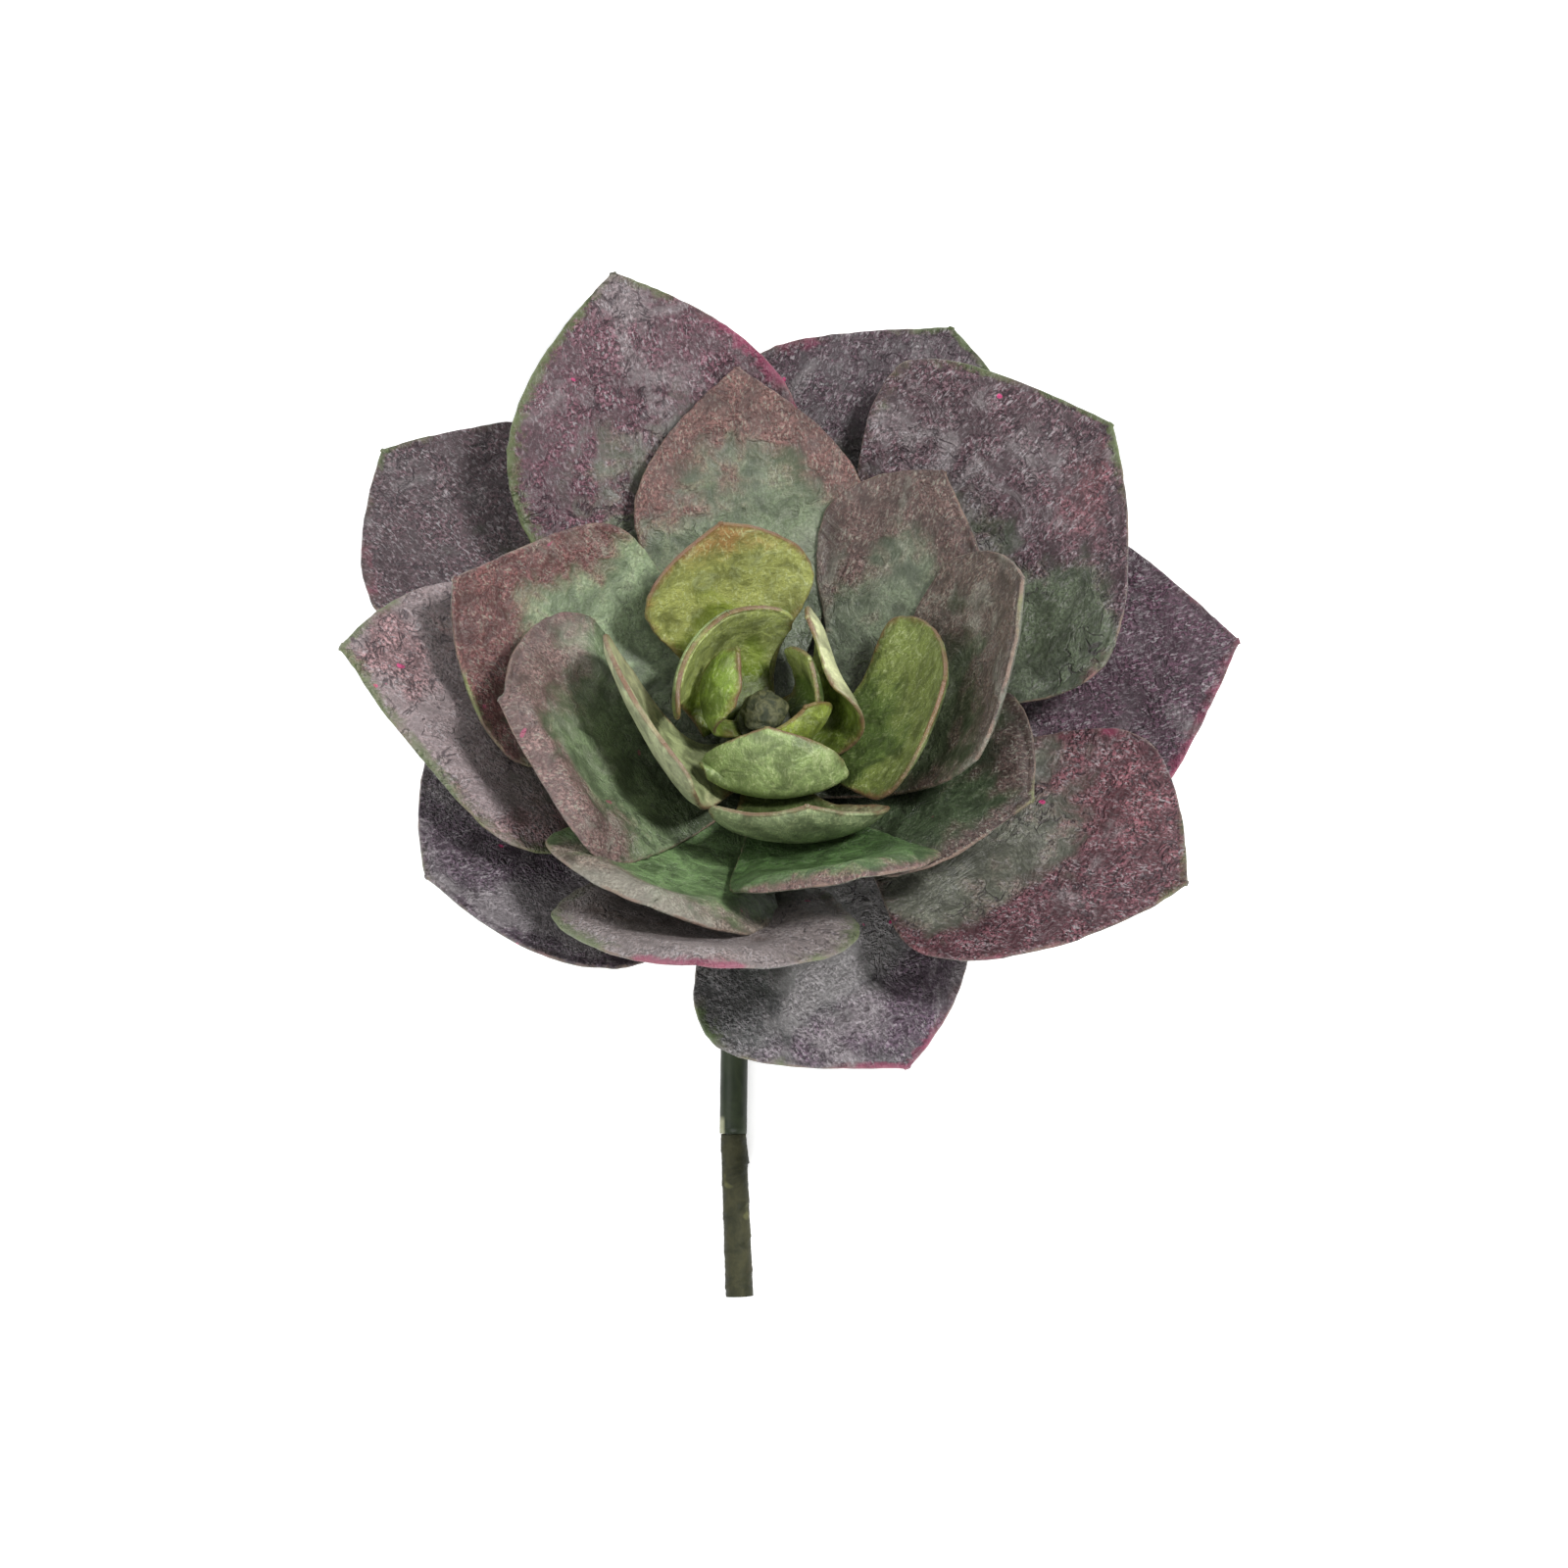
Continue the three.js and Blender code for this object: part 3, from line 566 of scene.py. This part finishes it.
outer_plastic = leaf_plastic(
    "outer_leaf_plastic", frost=(0.3, 0.28, 0.28, 1), hair_glint=(0.5, 0.46, 0.48, 1), creases=1.0,
    edge=((0.1, 0.15, 0.045, 1), (0.17, 0.11, 0.085, 1), (0.28, 0.04, 0.1, 1)), band_width=3.2,
    line_width=0.4, fleck_scale=1100.0, cloud_scale=75.0,
    grain=1.1, mottle=1.0,
)
leaf_ring(
    "outermost_leaves", "leaf_ring_1_outermost", outer_plastic,
    index=0, hub_radius=7, root_radius=6, cells=(72, 56),
    leaves=[
        dict(root=142, tip=138.8, reach=81.3, rise=12, width=50, out=3, up=9,
             wide=(0.7, 0.7), shoulder=(2, 2), side=(1, 0.93), rim=(0.4, 0.25, 0.76),
             base_paint=(0.085, 0.09, 0.062), blade_paint=(0.068, 0.04, 0.047), reach_of_base=0.62,
             frost=0.38),
        dict(root=84, tip=67.4, reach=77.8, rise=20, width=54, out=7, up=16,
             wide=(0.7, 0.7), waist=2.6, foot=0.25, rim=(0.3, 0.15, 0.85),
             base_paint=(0.07, 0.08, 0.055), blade_paint=(0.06, 0.036, 0.046), reach_of_base=0.6,
             frost=0.42),
        dict(root=18, tip=13, reach=76.5, rise=12, width=58, out=2, up=10,
             shoulder=(1.3, 1.8), waist=2.6, foot=0.25, twist=8, rim=(0.9, 0.8, 0.35),
             base_paint=(0.065, 0.05, 0.058), blade_paint=(0.068, 0.032, 0.05), frost=0.42),
        dict(root=-92, tip=-67, reach=56.5, rise=-2, width=46, out=0, up=-5,
             wide=(0.62, 0.62), shoulder=(1.8, 1.8), waist=2.6, foot=0.2, side=(1.1, 1.05),
             rim=(0.3, 0.9, 0.6), base_paint=(0.085, 0.095, 0.085), blade_paint=(0.09, 0.09, 0.09),
             blush=(0.09, 0.06, 0.085), blush_spots=[(0.85, 0, 0.15, 1.5, 0.9), (0.7, 0.9, 0.4, 0.4, 0.9)],
             # The second frost spot lightens the leaf's upper right near its foot: painted light where the
             # rings above throw their shade.
             frost=0.6, frost_spots=[(0.42, 0.0, 0.25, 0.35, 1.4), (0.3, 0.5, 0.25, 0.5, 1.2)]),
        dict(root=-142, tip=-151.5, reach=59, rise=15, width=57, out=4, up=14,
             shoulder=(2.2, 2.2), rim=(0.8, 0.3, 0.7), base_paint=(0.08, 0.09, 0.07),
             blade_paint=(0.07, 0.048, 0.065), frost_spots=[(0.7, 0.5, 0.3, 0.25, 0.8)]),
    ],
)

# The second ring of leaves
# Five more broad leaves of the same painted plastic, set over the gaps of the ring below. The one
# in front stands almost upright, with its rim rolled outwards, and shows its frosted face.
leaf_ring(
    "second_leaves", "leaf_ring_2", outer_plastic,
    index=1, hub_radius=7, root_radius=6, cells=(72, 56),
    leaves=[
        dict(root=110, tip=108.2, reach=77.2, rise=33, width=50, out=9, up=32,
             wide=(0.6, 0.6), shoulder=(2.2, 2.2), side=(0.92, 1.04), rim=(0.92, 0.1, 0.1),
             base_paint=(0.13, 0.145, 0.095), blade_paint=(0.105, 0.048, 0.062), reach_of_base=0.62,
             frost=0.45, frost_spots=[(0.8, -0.25, 0.2, 0.35, 0.3)],
             blush=(0.22, 0.21, 0.08), blush_spots=[(0.45, -0.15, 0.16, 0.12, 0.8)]),
        dict(root=42, tip=39.5, reach=70.5, rise=32, width=60, out=9, up=34,
             wide=(0.62, 0.76), shoulder=(1.6, 2), waist=2.6, foot=0.2, side=(0.97, 1.08),
             rim=(0.6, 0.15, 0.3), base_paint=(0.085, 0.105, 0.065),
             blade_paint=(0.078, 0.042, 0.051), reach_of_base=0.62,
             base_spots=[(0.56, -0.85, 0.2, 0.4, 1.2)], frost=0.44, blush=(0.13, 0.05, 0.06),
             frost_spots=[(0.5, 0.25, 0.2, 0.35, 0.5), (0.56, -0.85, 0.2, 0.4, -0.4)],
             blush_spots=[(0.88, -0.35, 0.14, 0.4, 0.8)]),
        dict(root=-20, tip=-26.5, reach=72, rise=20, width=48, out=8, up=18,
             wide=(0.56, 0.7), shoulder=(1.8, 2.1), waist=2.6, foot=0.2, side=(1.14, 0.92),
             rim=(0.7, 0.2, 0.75),
             base_paint=(0.15, 0.155, 0.12), blade_paint=(0.105, 0.04, 0.05), frost=0.36,
             blush=(0.145, 0.054, 0.064), blush_spots=[(0.8, 0.5, 0.3, 0.5, 0.7)],
             reach_of_base=0.62),
        # This leaf's paints are lighter than the other leaves' of the ring: partly its heavier frost, and
        # partly painted light, where light falls on it from the front.
        dict(root=-103, tip=-100, reach=57, rise=39, width=50, out=8, up=66, cup=0.4,
             side=(0.98, 0.9), twist=7,
             roll=(3, 3), roll_width=8, rim=(0.2, 0.92, 0.2), base_paint=(0.13, 0.15, 0.1),
             blade_paint=(0.19, 0.135, 0.125), frost=1.0),
        # This leaf's blade paint is lighter than the other leaves' of the ring: partly its heavier frost,
        # and partly painted light, where light falls on it from the front and left.
        dict(root=-168, tip=175, reach=65.5, rise=28, width=50, out=9, up=30,
             wide=(0.7, 0.5), shoulder=(1.9, 1.4), waist=2.6, side=(0.9, 1.05),
             roll=(0, 1.5), rim=(0.5, 0.1, 0.2), base_paint=(0.11, 0.115, 0.07),
             blade_paint=(0.22, 0.13, 0.135), frost=0.95, blush=(0.24, 0.11, 0.08),
             blush_spots=[(0.72, -0.55, 0.08, 0.2, 0.6)]),
    ],
)

# The third and fourth rings of leaves
# Smaller leaves that cup upwards. Their feet are frosted grey-green and their outer halves
# brownish purple, with the green foot showing far up the leaf.
middle_plastic = leaf_plastic(
    "middle_leaf_plastic", frost=(0.3, 0.305, 0.25, 1), hair_glint=(0.46, 0.47, 0.38, 1), creases=0.4,
    edge=((0.2, 0.25, 0.09, 1), (0.22, 0.14, 0.11, 1), (0.3, 0.1, 0.11, 1)), band_width=1.6,
    line_width=0.4, fleck_scale=1200.0, cloud_scale=90.0,
    grain=0.85, mottle=0.8,
)
leaf_ring(
    "third_leaves", "leaf_ring_3", middle_plastic,
    index=2, hub_radius=7, root_radius=6, cells=(64, 48),
    leaves=[
        dict(root=93, tip=94.3, reach=59, rise=27.5, width=38, out=11, up=30,
             wide=(0.6, 0.6), waist=2.6, side=(1, 0.96), rim=(0.55, 0.65, 0.45), wave=0.4,
             base_paint=(0.13, 0.165, 0.095), blade_paint=(0.13, 0.066, 0.058), reach_of_base=0.72,
             frost=0.42),
        dict(root=146, tip=162.5, reach=50.5, rise=33, width=43, out=12, up=50,
             wide=(0.56, 0.64), shoulder=(1.6, 1.6), rim=(0.5, 0.5, 0.2), wave=0.5,
             base_paint=(0.21, 0.27, 0.155), blade_paint=(0.13, 0.056, 0.053), reach_of_base=0.67,
             frost=0.35),
        dict(root=28, tip=53.6, reach=47.6, rise=28.3, width=36, out=12, up=40,
             wide=(0.6, 0.75), waist=3, side=(1, 0.9), twist=7, wave=0.5,
             base_paint=(0.11, 0.135, 0.085), blade_paint=(0.1, 0.06, 0.053), reach_of_base=0.68,
             frost=0.4),
        dict(root=-28, tip=-28, reach=46, rise=28, width=40, out=11, up=38, waist=2.4, side=(0.9, 1),
             rim=(0.5, 0.35, 0.4), roll=(1, 1), wave=0.5,
             base_paint=(0.055, 0.078, 0.04), blade_paint=(0.08, 0.052, 0.046), reach_of_base=0.85,
             frost=0.3),
        dict(root=-120, tip=-110, reach=47.5, rise=37, width=44, out=11, up=72,
             wide=(0.6, 0.6), side=(0.96, 0.72), twist=5, roll=(3, 3), rim=(0.3, 0.5, 0.5),
             base_paint=(0.15, 0.24, 0.1), blade_paint=(0.2, 0.16, 0.13), reach_of_base=0.85,
             frost=0.35, frost_spots=[(0.95, 0, 0.15, 2, 0.8)]),
    ],
)
leaf_ring(
    "fourth_leaves", "leaf_ring_4", middle_plastic,
    index=3, hub_radius=7, root_radius=6, cells=(64, 48),
    leaves=[
        dict(root=-16, tip=14.5, reach=41.2, rise=40, width=48, out=12, up=66,
             wide=(0.64, 0.72), waist=2.8, twist=14, side=(1, 0.76), rim=(0.5, 0.35, 0.5),
             base_paint=(0.088, 0.11, 0.06), blade_paint=(0.105, 0.072, 0.06), reach_of_base=0.62),
        dict(root=-78, tip=-71, reach=43.5, rise=40, width=32, out=12, up=76,
             wide=(0.68, 0.68), roll=(3, 3), roll_width=6, rim=(0.5, 0.5, 0.6),
             base_paint=(0.08, 0.148, 0.05), blade_paint=(0.15, 0.09, 0.08), reach_of_base=0.98,
             frost=0.15),
        dict(root=-148, tip=-168, reach=40, rise=36, width=48, out=12, up=60,
             twist=-16, roll=(0.5, 3), base_paint=(0.14, 0.185, 0.1),
             blade_paint=(0.16, 0.1, 0.092), reach_of_base=0.76, frost=0.45),
    ],
)

# The three rings of the heart
# Small leaves that close over the middle of the rosette, thinner and yellow-green, with a fine
# pale speckle and with rust on their rims and tips.
heart_plastic = leaf_plastic(
    "heart_leaf_plastic", frost=(0.42, 0.47, 0.24, 1), hair_glint=(0.6, 0.66, 0.36, 1), creases=0.0,
    edge=((0.2, 0.26, 0.06, 1), (0.13, 0.07, 0.03, 1), (0.15, 0.06, 0.03, 1)), band_width=1.8,
    line_width=0.42, fleck_scale=1000.0, cloud_scale=300.0,
    grain=0.9, mottle=0.15,
)
heart_look = {
    "wave": 0.2, "bead": 0.1, "thick": 1.5, "rim": (0.78, 0.9, 0.78), "frost": 0.45,
    "base_paint": (0.2, 0.28, 0.04), "blade_paint": (0.25, 0.3, 0.08),
    "back_paint": (0.2, 0.27, 0.1), "blush": (0.24, 0.14, 0.05),
}
leaf_ring(
    "fifth_leaves", "leaf_ring_5", heart_plastic,
    index=4, hub_radius=6, root_radius=5, cells=(56, 44),
    leaves=[
        {**heart_look, **leaf} for leaf in (
            dict(root=110, tip=106, reach=24.3, rise=36, width=29, out=12, up=80,
                 wide=(0.6, 0.6), shoulder=(2.2, 2.2), side=(0.98, 0.95), swell=0.5,
                 base_paint=(0.25, 0.31, 0.05), blade_paint=(0.31, 0.33, 0.1),
                 blush_spots=[(1, 0, 0.25, 1.5, 0.75), (0.6, 1.1, 0.4, 0.2, 0.5)]),
            dict(root=-16, tip=-8, reach=28, rise=34, width=31, out=12, up=80,
                 wide=(0.56, 0.5), shoulder=(2.3, 2.3), waist=2.4, side=(0.92, 1.3), twist=6, swell=0.45,
                 base_paint=(0.095, 0.145, 0.035), blade_paint=(0.16, 0.2, 0.05),
                 blush=(0.16, 0.09, 0.04), blush_spots=[(0.7, -1.1, 0.4, 0.3, 0.7)]),
            dict(root=-82, tip=-76, reach=27, rise=33, width=30, out=10, up=100, cup=0.65, twist=-6,
                 swell=0.55, base_paint=(0.14, 0.19, 0.06), blade_paint=(0.19, 0.18, 0.1),
                 back_paint=(0.22, 0.27, 0.14)),
            dict(root=-143, tip=-170, reach=22.8, rise=37, width=32.5, out=11, up=80,
                 shoulder=(3.4, 2.2), foot=0.25, cup=0.26, side=(0.88, 1.2), twist=-14, swell=0.45,
                 base_paint=(0.38, 0.43, 0.21), blade_paint=(0.42, 0.42, 0.24),
                 back_paint=(0.44, 0.48, 0.29)),
        )
    ],
)
leaf_ring(
    "sixth_leaves", "leaf_ring_6", heart_plastic,
    index=5, hub_radius=5, root_radius=4, cells=(56, 44),
    leaves=[
        {**heart_look, **leaf} for leaf in (
            dict(root=121, tip=117, reach=12, rise=30, width=32.2, out=18, up=92, cup=1,
                 wide=(0.72, 0.78), shoulder=(3, 4.5), foot=0.45, side=(0.66, 1.2), swell=0.55,
                 base_paint=(0.2, 0.28, 0.03), blade_paint=(0.28, 0.32, 0.1)),
            dict(root=16, tip=58, heading=25, reach=12.6, rise=28.8, width=27, out=9, up=112,
                 wide=(0.36, 0.6), shoulder=(2.1, 2.4), foot=0.7, side=(0.86, 0.55), swell=0.62,
                 hook=0.42, back_paint=(0.6, 0.62, 0.36)),
            dict(root=-90, tip=-86, reach=7.6, rise=26, width=26.4, out=9, up=135, cup=0.75, twist=-7,
                 wide=(0.56, 0.56), waist=1.6, shoulder=(3.2, 3.2), foot=0.5, side=(0.9, 1), swell=1.1,
                 hook=0.65, back_paint=(0.24, 0.32, 0.12)),
        )
    ],
)
leaf_ring(
    "innermost_leaves", "leaf_ring_7_innermost", heart_plastic,
    index=6, hub_radius=4.2, root_radius=3, cells=(40, 32),
    leaves=[
        {**heart_look, **leaf} for leaf in (
            dict(root=198, tip=135, heading=45, reach=5.8, rise=30, width=10, out=18, up=60,
                 cup=0.4, swell=0.8, back_paint=(0.19, 0.28, 0.04)),
            # This leaf is painted a darker green than the others: painted shade, for the shadow of the
            # sixth ring's leaf beside it.
            dict(root=24, tip=32, reach=8.4, rise=27, width=14, out=15, up=85,
                 cup=0.6, swell=0.7, base_paint=(0.1, 0.16, 0.03), back_paint=(0.09, 0.14, 0.04)),
            dict(root=-52, tip=-30, reach=7.4, rise=25.6, width=13, out=15, up=108,
                 cup=0.5, swell=0.6, back_paint=(0.27, 0.34, 0.06)),
        )
    ],
)

# The sleeve of the stem
# A moulded tube of dark green plastic, pushed over the steel wire and bent with it. The rings of
# leaves slide on its upper end and rest on its shoulder, and its lower part lies on the ground.
STEM_RADIUS = 2.15
BORE = 1.4
SLEEVE_TOP = 16.1
NECK = -5
BEND = 17
SHOULDER_RADIUS, SHOULDER_LOW, SHOULDER_HIGH = 4.5, -3, -1.4
NIB_SIDE, NIB_END = (-0.0113, -0.0108), (-0.0536, -0.0524)
landing = Vector((-9.31, -28.49, 2.15))
sleeve_end = Vector((-9.61, -55.49, 2.15))
stem_end = Vector((-8.61, -81.49, 2.15))


def on_axis(height):
    """A point on the rosette's axis, at a height over the lowest hub's middle."""
    return rosette @ Vector((0, 0, height))


def sleeve_route():
    """Points down the middle of the sleeve, about a millimetre apart."""
    neck = on_axis(NECK)
    top = on_axis(SLEEVE_TOP)
    below_neck = on_axis(NECK - BEND)
    before = landing + (landing - sleeve_end).normalized() * BEND
    points = [top.lerp(neck, i / 20) for i in range(20)]
    for i in range(34):
        t = i / 34
        points.append(
            neck * (1 - t) ** 3 + below_neck * (3 * t * (1 - t) ** 2)
            + before * (3 * t * t * (1 - t)) + landing * t ** 3
        )
    return points + [landing.lerp(sleeve_end, i / 26) for i in range(27)]


def pipe(route, outer, inner, sides=40):
    """A round pipe along a route. outer and inner give the radius for a step and an angle."""
    count = len(route)
    side = Vector((1, 0, 0))
    rings = []
    for k, point in enumerate(route):
        ahead = (route[min(k + 1, count - 1)] - route[max(k - 1, 0)]).normalized()
        side = (side - ahead * side.dot(ahead)).normalized()
        up = side.cross(ahead)
        angles = [2 * math.pi * j / sides for j in range(sides)]
        for radius in (outer, inner):
            rings.append([
                point + (side * math.cos(a) + up * math.sin(a)) * radius(k / (count - 1), a)
                for a in angles
            ])
    points = [tuple(p) for ring in rings for p in ring]
    faces = []
    for k in range(count - 1):
        for j in range(sides):
            a, b = 2 * k * sides + j, 2 * k * sides + (j + 1) % sides
            c, d = a + 2 * sides, b + 2 * sides
            faces.append((a, b, d, c))
            faces.append((a + sides, c + sides, d + sides, b + sides))
    last = 2 * (count - 1) * sides
    for j in range(sides):
        a, b = j, (j + 1) % sides
        faces.append((a, a + sides, b + sides, b))
        faces.append((last + a, last + b, last + b + sides, last + a + sides))
    return np.array(points), faces


def sleeve_radius(share, angle):
    """The outer radius, with the faint lumps of a moulded tube."""
    lump = noise.noise(Vector((share * 30, math.cos(angle), math.sin(angle))))
    return STEM_RADIUS + 0.02 + 0.04 * lump


sleeve_plastic, tree, shader, place = finish_material("sleeve_plastic")
mottle = cloud(tree, place, 160.0, detail=4.0, distortion=0.5)
deep_green, worn_green = (0.016, 0.024, 0.012, 1), (0.034, 0.045, 0.022, 1)
colour = mixed(tree, eased(tree, mottle, 0.35, 0.7), deep_green, worn_green)
frosting = placed(tree, frost_group, {
    "Place": place, "Grain Place": place, "Fleck Scale": 3000.0, "Cloud Scale": 120.0,
    "Cover": 0.25, "Grain": 0.5,
})
sleeve_frost, bare_nib = (0.085, 0.1, 0.06, 1), (0.3, 0.31, 0.2, 1)
colour = mixed(tree, frosting["Share"], colour, sleeve_frost)
axes = add(tree, "ShaderNodeSeparateXYZ", {"Vector": place}).outputs
near_left = eased(tree, axes["X"], *NIB_SIDE, 1, 0)
near_end = eased(tree, axes["Y"], *NIB_END, 1, 0)
colour = mixed(tree, calc(tree, "MULTIPLY", near_left, near_end), colour, bare_nib)
tree.links.new(colour, shader.inputs["Base Color"])
shader.inputs["Specular IOR Level"].default_value = 0.25
tree.links.new(eased(tree, mottle, 0.3, 0.7, 0.38, 0.52), shader.inputs["Roughness"])
bumped(tree, shader, mottle, 0.3, 0.0005)
points, faces = pipe(sleeve_route(), sleeve_radius, lambda share, angle: BORE)
points[:, 2] = np.maximum(points[:, 2], 0)
shoulder, shoulder_faces = hub_shell(
    STEM_RADIUS - 0.4, SHOULDER_RADIUS, SHOULDER_LOW, SHOULDER_HIGH,
)[:2]
shoulder = shoulder @ np.array(rosette.to_3x3()).T + np.array(rosette.translation)
faces = faces + [tuple(int(n) + len(points) for n in face) for face in shoulder_faces]
points = np.concatenate([points, shoulder])
piece("sleeve_with_shoulder", points, faces, {}, sleeve_plastic, ["stem_sleeve"])

# The wound tape
# Thin waxed olive paper, wound in a slant over the bare wire from the sleeve's end to the square
# cut. Its laps show as low steps, and one flap of it stands off just below the sleeve.
TAPE_LENGTH, TAPE_PITCH, TAPE_GAP = 26, 5.5, 0.05
LAP_HEIGHT = 0.12
FLAP_END, FLAP_RISE = 0.19, 1.6
tape_start = sleeve_end + (stem_end - sleeve_end).normalized() * TAPE_GAP


def tape_radius(share, angle):
    """The outer radius, with the steps of the laps, the flap and the crumple of paper."""
    turn = share * TAPE_LENGTH / TAPE_PITCH + angle / (2 * math.pi)
    lap = (turn % 1) ** 4 * LAP_HEIGHT
    lump = noise.noise(Vector((share * 40, 2 * math.cos(angle), 2 * math.sin(angle))))
    flap = FLAP_RISE * share * max(math.cos(angle), 0) ** 8 if share < FLAP_END else 0
    return STEM_RADIUS - 0.15 + 0.2 * share + lap + flap + 0.06 * lump


tape_stuff, tree, shader, place = finish_material("wound_tape")
mottle = cloud(tree, place, 330.0, detail=5.0, rough=0.6, distortion=0.6)
dark_olive, olive = (0.018, 0.02, 0.009, 1), (0.048, 0.047, 0.023, 1)
colour = mixed(tree, eased(tree, mottle, 0.3, 0.72), dark_olive, olive)
rusty_brown, pale_wax = (0.075, 0.052, 0.027, 1), (0.15, 0.15, 0.06, 1)
rust = eased(tree, cloud(tree, place, 190.0, detail=2.0), 0.6, 0.75, 0.0, 0.5)
colour = mixed(tree, rust, colour, rusty_brown)
dabs = eased(tree, cloud(tree, place, 370.0, detail=1.0), 0.66, 0.76, 0.0, 0.5)
colour = mixed(tree, dabs, colour, pale_wax)
tree.links.new(colour, shader.inputs["Base Color"])
shader.inputs["Specular IOR Level"].default_value = 0.2
tree.links.new(eased(tree, mottle, 0.3, 0.7, 0.5, 0.7), shader.inputs["Roughness"])
crepe = cloud(tree, place, 1500.0, detail=2.0)
bumped(tree, shader, calc(tree, "MULTIPLY_ADD", crepe, 0.3, mottle), 0.5, 0.0006)
route = [tape_start.lerp(stem_end, i / 120) for i in range(121)]
points, faces = pipe(route, tape_radius, lambda share, angle: BORE, sides=48)
points[:, 2] = np.maximum(points[:, 2], 0)
piece("wound_stem_tape", points, faces, {}, tape_stuff, ["stem_tape"])

# The knob
# The same waxed tape, wound over and over the wire's upper end into a rough ball that keeps the
# last ring of leaves from sliding off.
KNOB_RADIUS, KNOB_FOOT, KNOB_HEIGHT = 3.5, 16.45, 4.5
BALL_FROM, BALL_SPAN, BALL_BLUNTNESS = 0.14, 0.8, 0.6


def knob_shape(rings=24, sides=40):
    """Points and faces of a lumpy ball, cut flat at its foot and at its top."""
    points, faces = [], []
    for k in range(rings + 1):
        share = k / rings
        round_share = math.sin(math.pi * (BALL_FROM + BALL_SPAN * share)) ** BALL_BLUNTNESS
        for j in range(sides):
            angle = 2 * math.pi * j / sides
            spot = Vector((math.cos(angle) * 1.6, math.sin(angle) * 1.6, share * 4))
            lumps = 0.55 * noise.noise(spot * 1.3) + 0.25 * noise.noise(spot * 3.1)
            radius = KNOB_RADIUS * round_share + lumps
            height = KNOB_FOOT + KNOB_HEIGHT * share + 0.3 * noise.noise(spot * 1.7)
            corner = Vector((math.cos(angle) * radius, math.sin(angle) * radius, height))
            points.append(tuple(rosette @ corner))
    for k in range(rings):
        for j in range(sides):
            a, b = k * sides + j, k * sides + (j + 1) % sides
            faces.append((a, b, b + sides, a + sides))
    faces.append(tuple(reversed(range(sides))))
    faces.append(tuple(rings * sides + j for j in range(sides)))
    return np.array(points), faces


knob_stuff, tree, shader, place = finish_material("knob_tape")
mottle = cloud(tree, place, 600.0, detail=5.0, rough=0.65, distortion=0.8)
dark_tape, rubbed_tape = (0.03, 0.038, 0.016, 1), (0.15, 0.15, 0.07, 1)
colour = mixed(tree, eased(tree, mottle, 0.35, 0.7), dark_tape, rubbed_tape)
tree.links.new(colour, shader.inputs["Base Color"])
shader.inputs["Roughness"].default_value = 0.65
bumped(tree, shader, mottle, 0.7, 0.0008)
points, faces = knob_shape()
piece("wound_knob", points, faces, {}, knob_stuff, ["stem_knob"])

# The wire
# The stem's steel core, with a drawn, scratched skin. It is bent once under the rosette, and only
# its cut end shows, in the middle of the stem's square cut.
wire_steel, tree, shader, place = finish_material("cut_steel")
scratches = cloud(tree, place, 900.0, detail=4.0)
dull_steel, bright_steel = (0.22, 0.22, 0.22, 1), (0.5, 0.5, 0.48, 1)
colour = mixed(tree, eased(tree, scratches, 0.35, 0.7), dull_steel, bright_steel)
tree.links.new(colour, shader.inputs["Base Color"])
tree.links.new(eased(tree, scratches, 0.3, 0.7, 0.3, 0.5), shader.inputs["Roughness"])
shader.inputs["Metallic"].default_value = 1.0
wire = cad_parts["stem_wire"]
wire.data.materials.clear()
wire.data.materials.append(wire_steel)

# The floor, the light and the camera
# A pale table top, one broad soft lamp up and to the right with two weaker ones to the left and
# in front, and a camera that looks straight down at the rosette.
FLOOR_REACH = 2
FLOOR_CLEARANCE = 0.0001
corners = [(x * FLOOR_REACH, y * FLOOR_REACH, 0) for x, y in ((-1, -1), (1, -1), (1, 1), (-1, 1))]
floor_mesh = bpy.data.meshes.new("floor")
floor_mesh.from_pydata(corners, [], [(0, 1, 2, 3)])
floor = bpy.data.objects.new("floor", floor_mesh)
floor.location.z = -FLOOR_CLEARANCE
bpy.context.scene.collection.objects.link(floor)
floor_paint, tree, shader, place = finish_material("floor_paint")
shader.inputs["Base Color"].default_value = (0.8, 0.8, 0.8, 1)
shader.inputs["Roughness"].default_value = 0.9
shader.inputs["Emission Color"].default_value = (1, 1, 1, 1)
shader.inputs["Emission Strength"].default_value = 0.55
floor_mesh.materials.append(floor_paint)

rosette_middle = Vector((0, 0.02, 0.03))
world = bpy.data.worlds.new("studio")
world.use_nodes = True
world.node_tree.nodes["Background"].inputs["Color"].default_value = (1, 1, 1, 1)
world.node_tree.nodes["Background"].inputs["Strength"].default_value = 0.31
bpy.context.scene.world = world


def soft_lamp(name, place, size, power):
    """A square lamp that points at the middle of the rosette."""
    data = bpy.data.lights.new(name, "AREA")
    data.size = size
    data.energy = power
    lamp = bpy.data.objects.new(name, data)
    lamp.location = place
    lamp.rotation_euler = (rosette_middle - Vector(place)).to_track_quat("-Z", "Y").to_euler()
    bpy.context.scene.collection.objects.link(lamp)


soft_lamp("main_lamp", (0.62, 0.5, 1.1), size=0.22, power=17.5)
soft_lamp("left_lamp", (-0.9, 0.1, 0.9), size=0.8, power=6.5)
soft_lamp("front_lamp", (-0.1, -0.9, 0.9), size=0.8, power=9)

camera_data = bpy.data.cameras.new("camera")
camera_data.sensor_width = 36
camera_data.lens = 157.9
camera_data.clip_start = 0.05
camera = bpy.data.objects.new("camera", camera_data)
camera.location = (-0.00152, 0.00027, 1.1)
bpy.context.scene.collection.objects.link(camera)
bpy.context.scene.camera = camera
bpy.context.scene.view_settings.view_transform = "Standard"
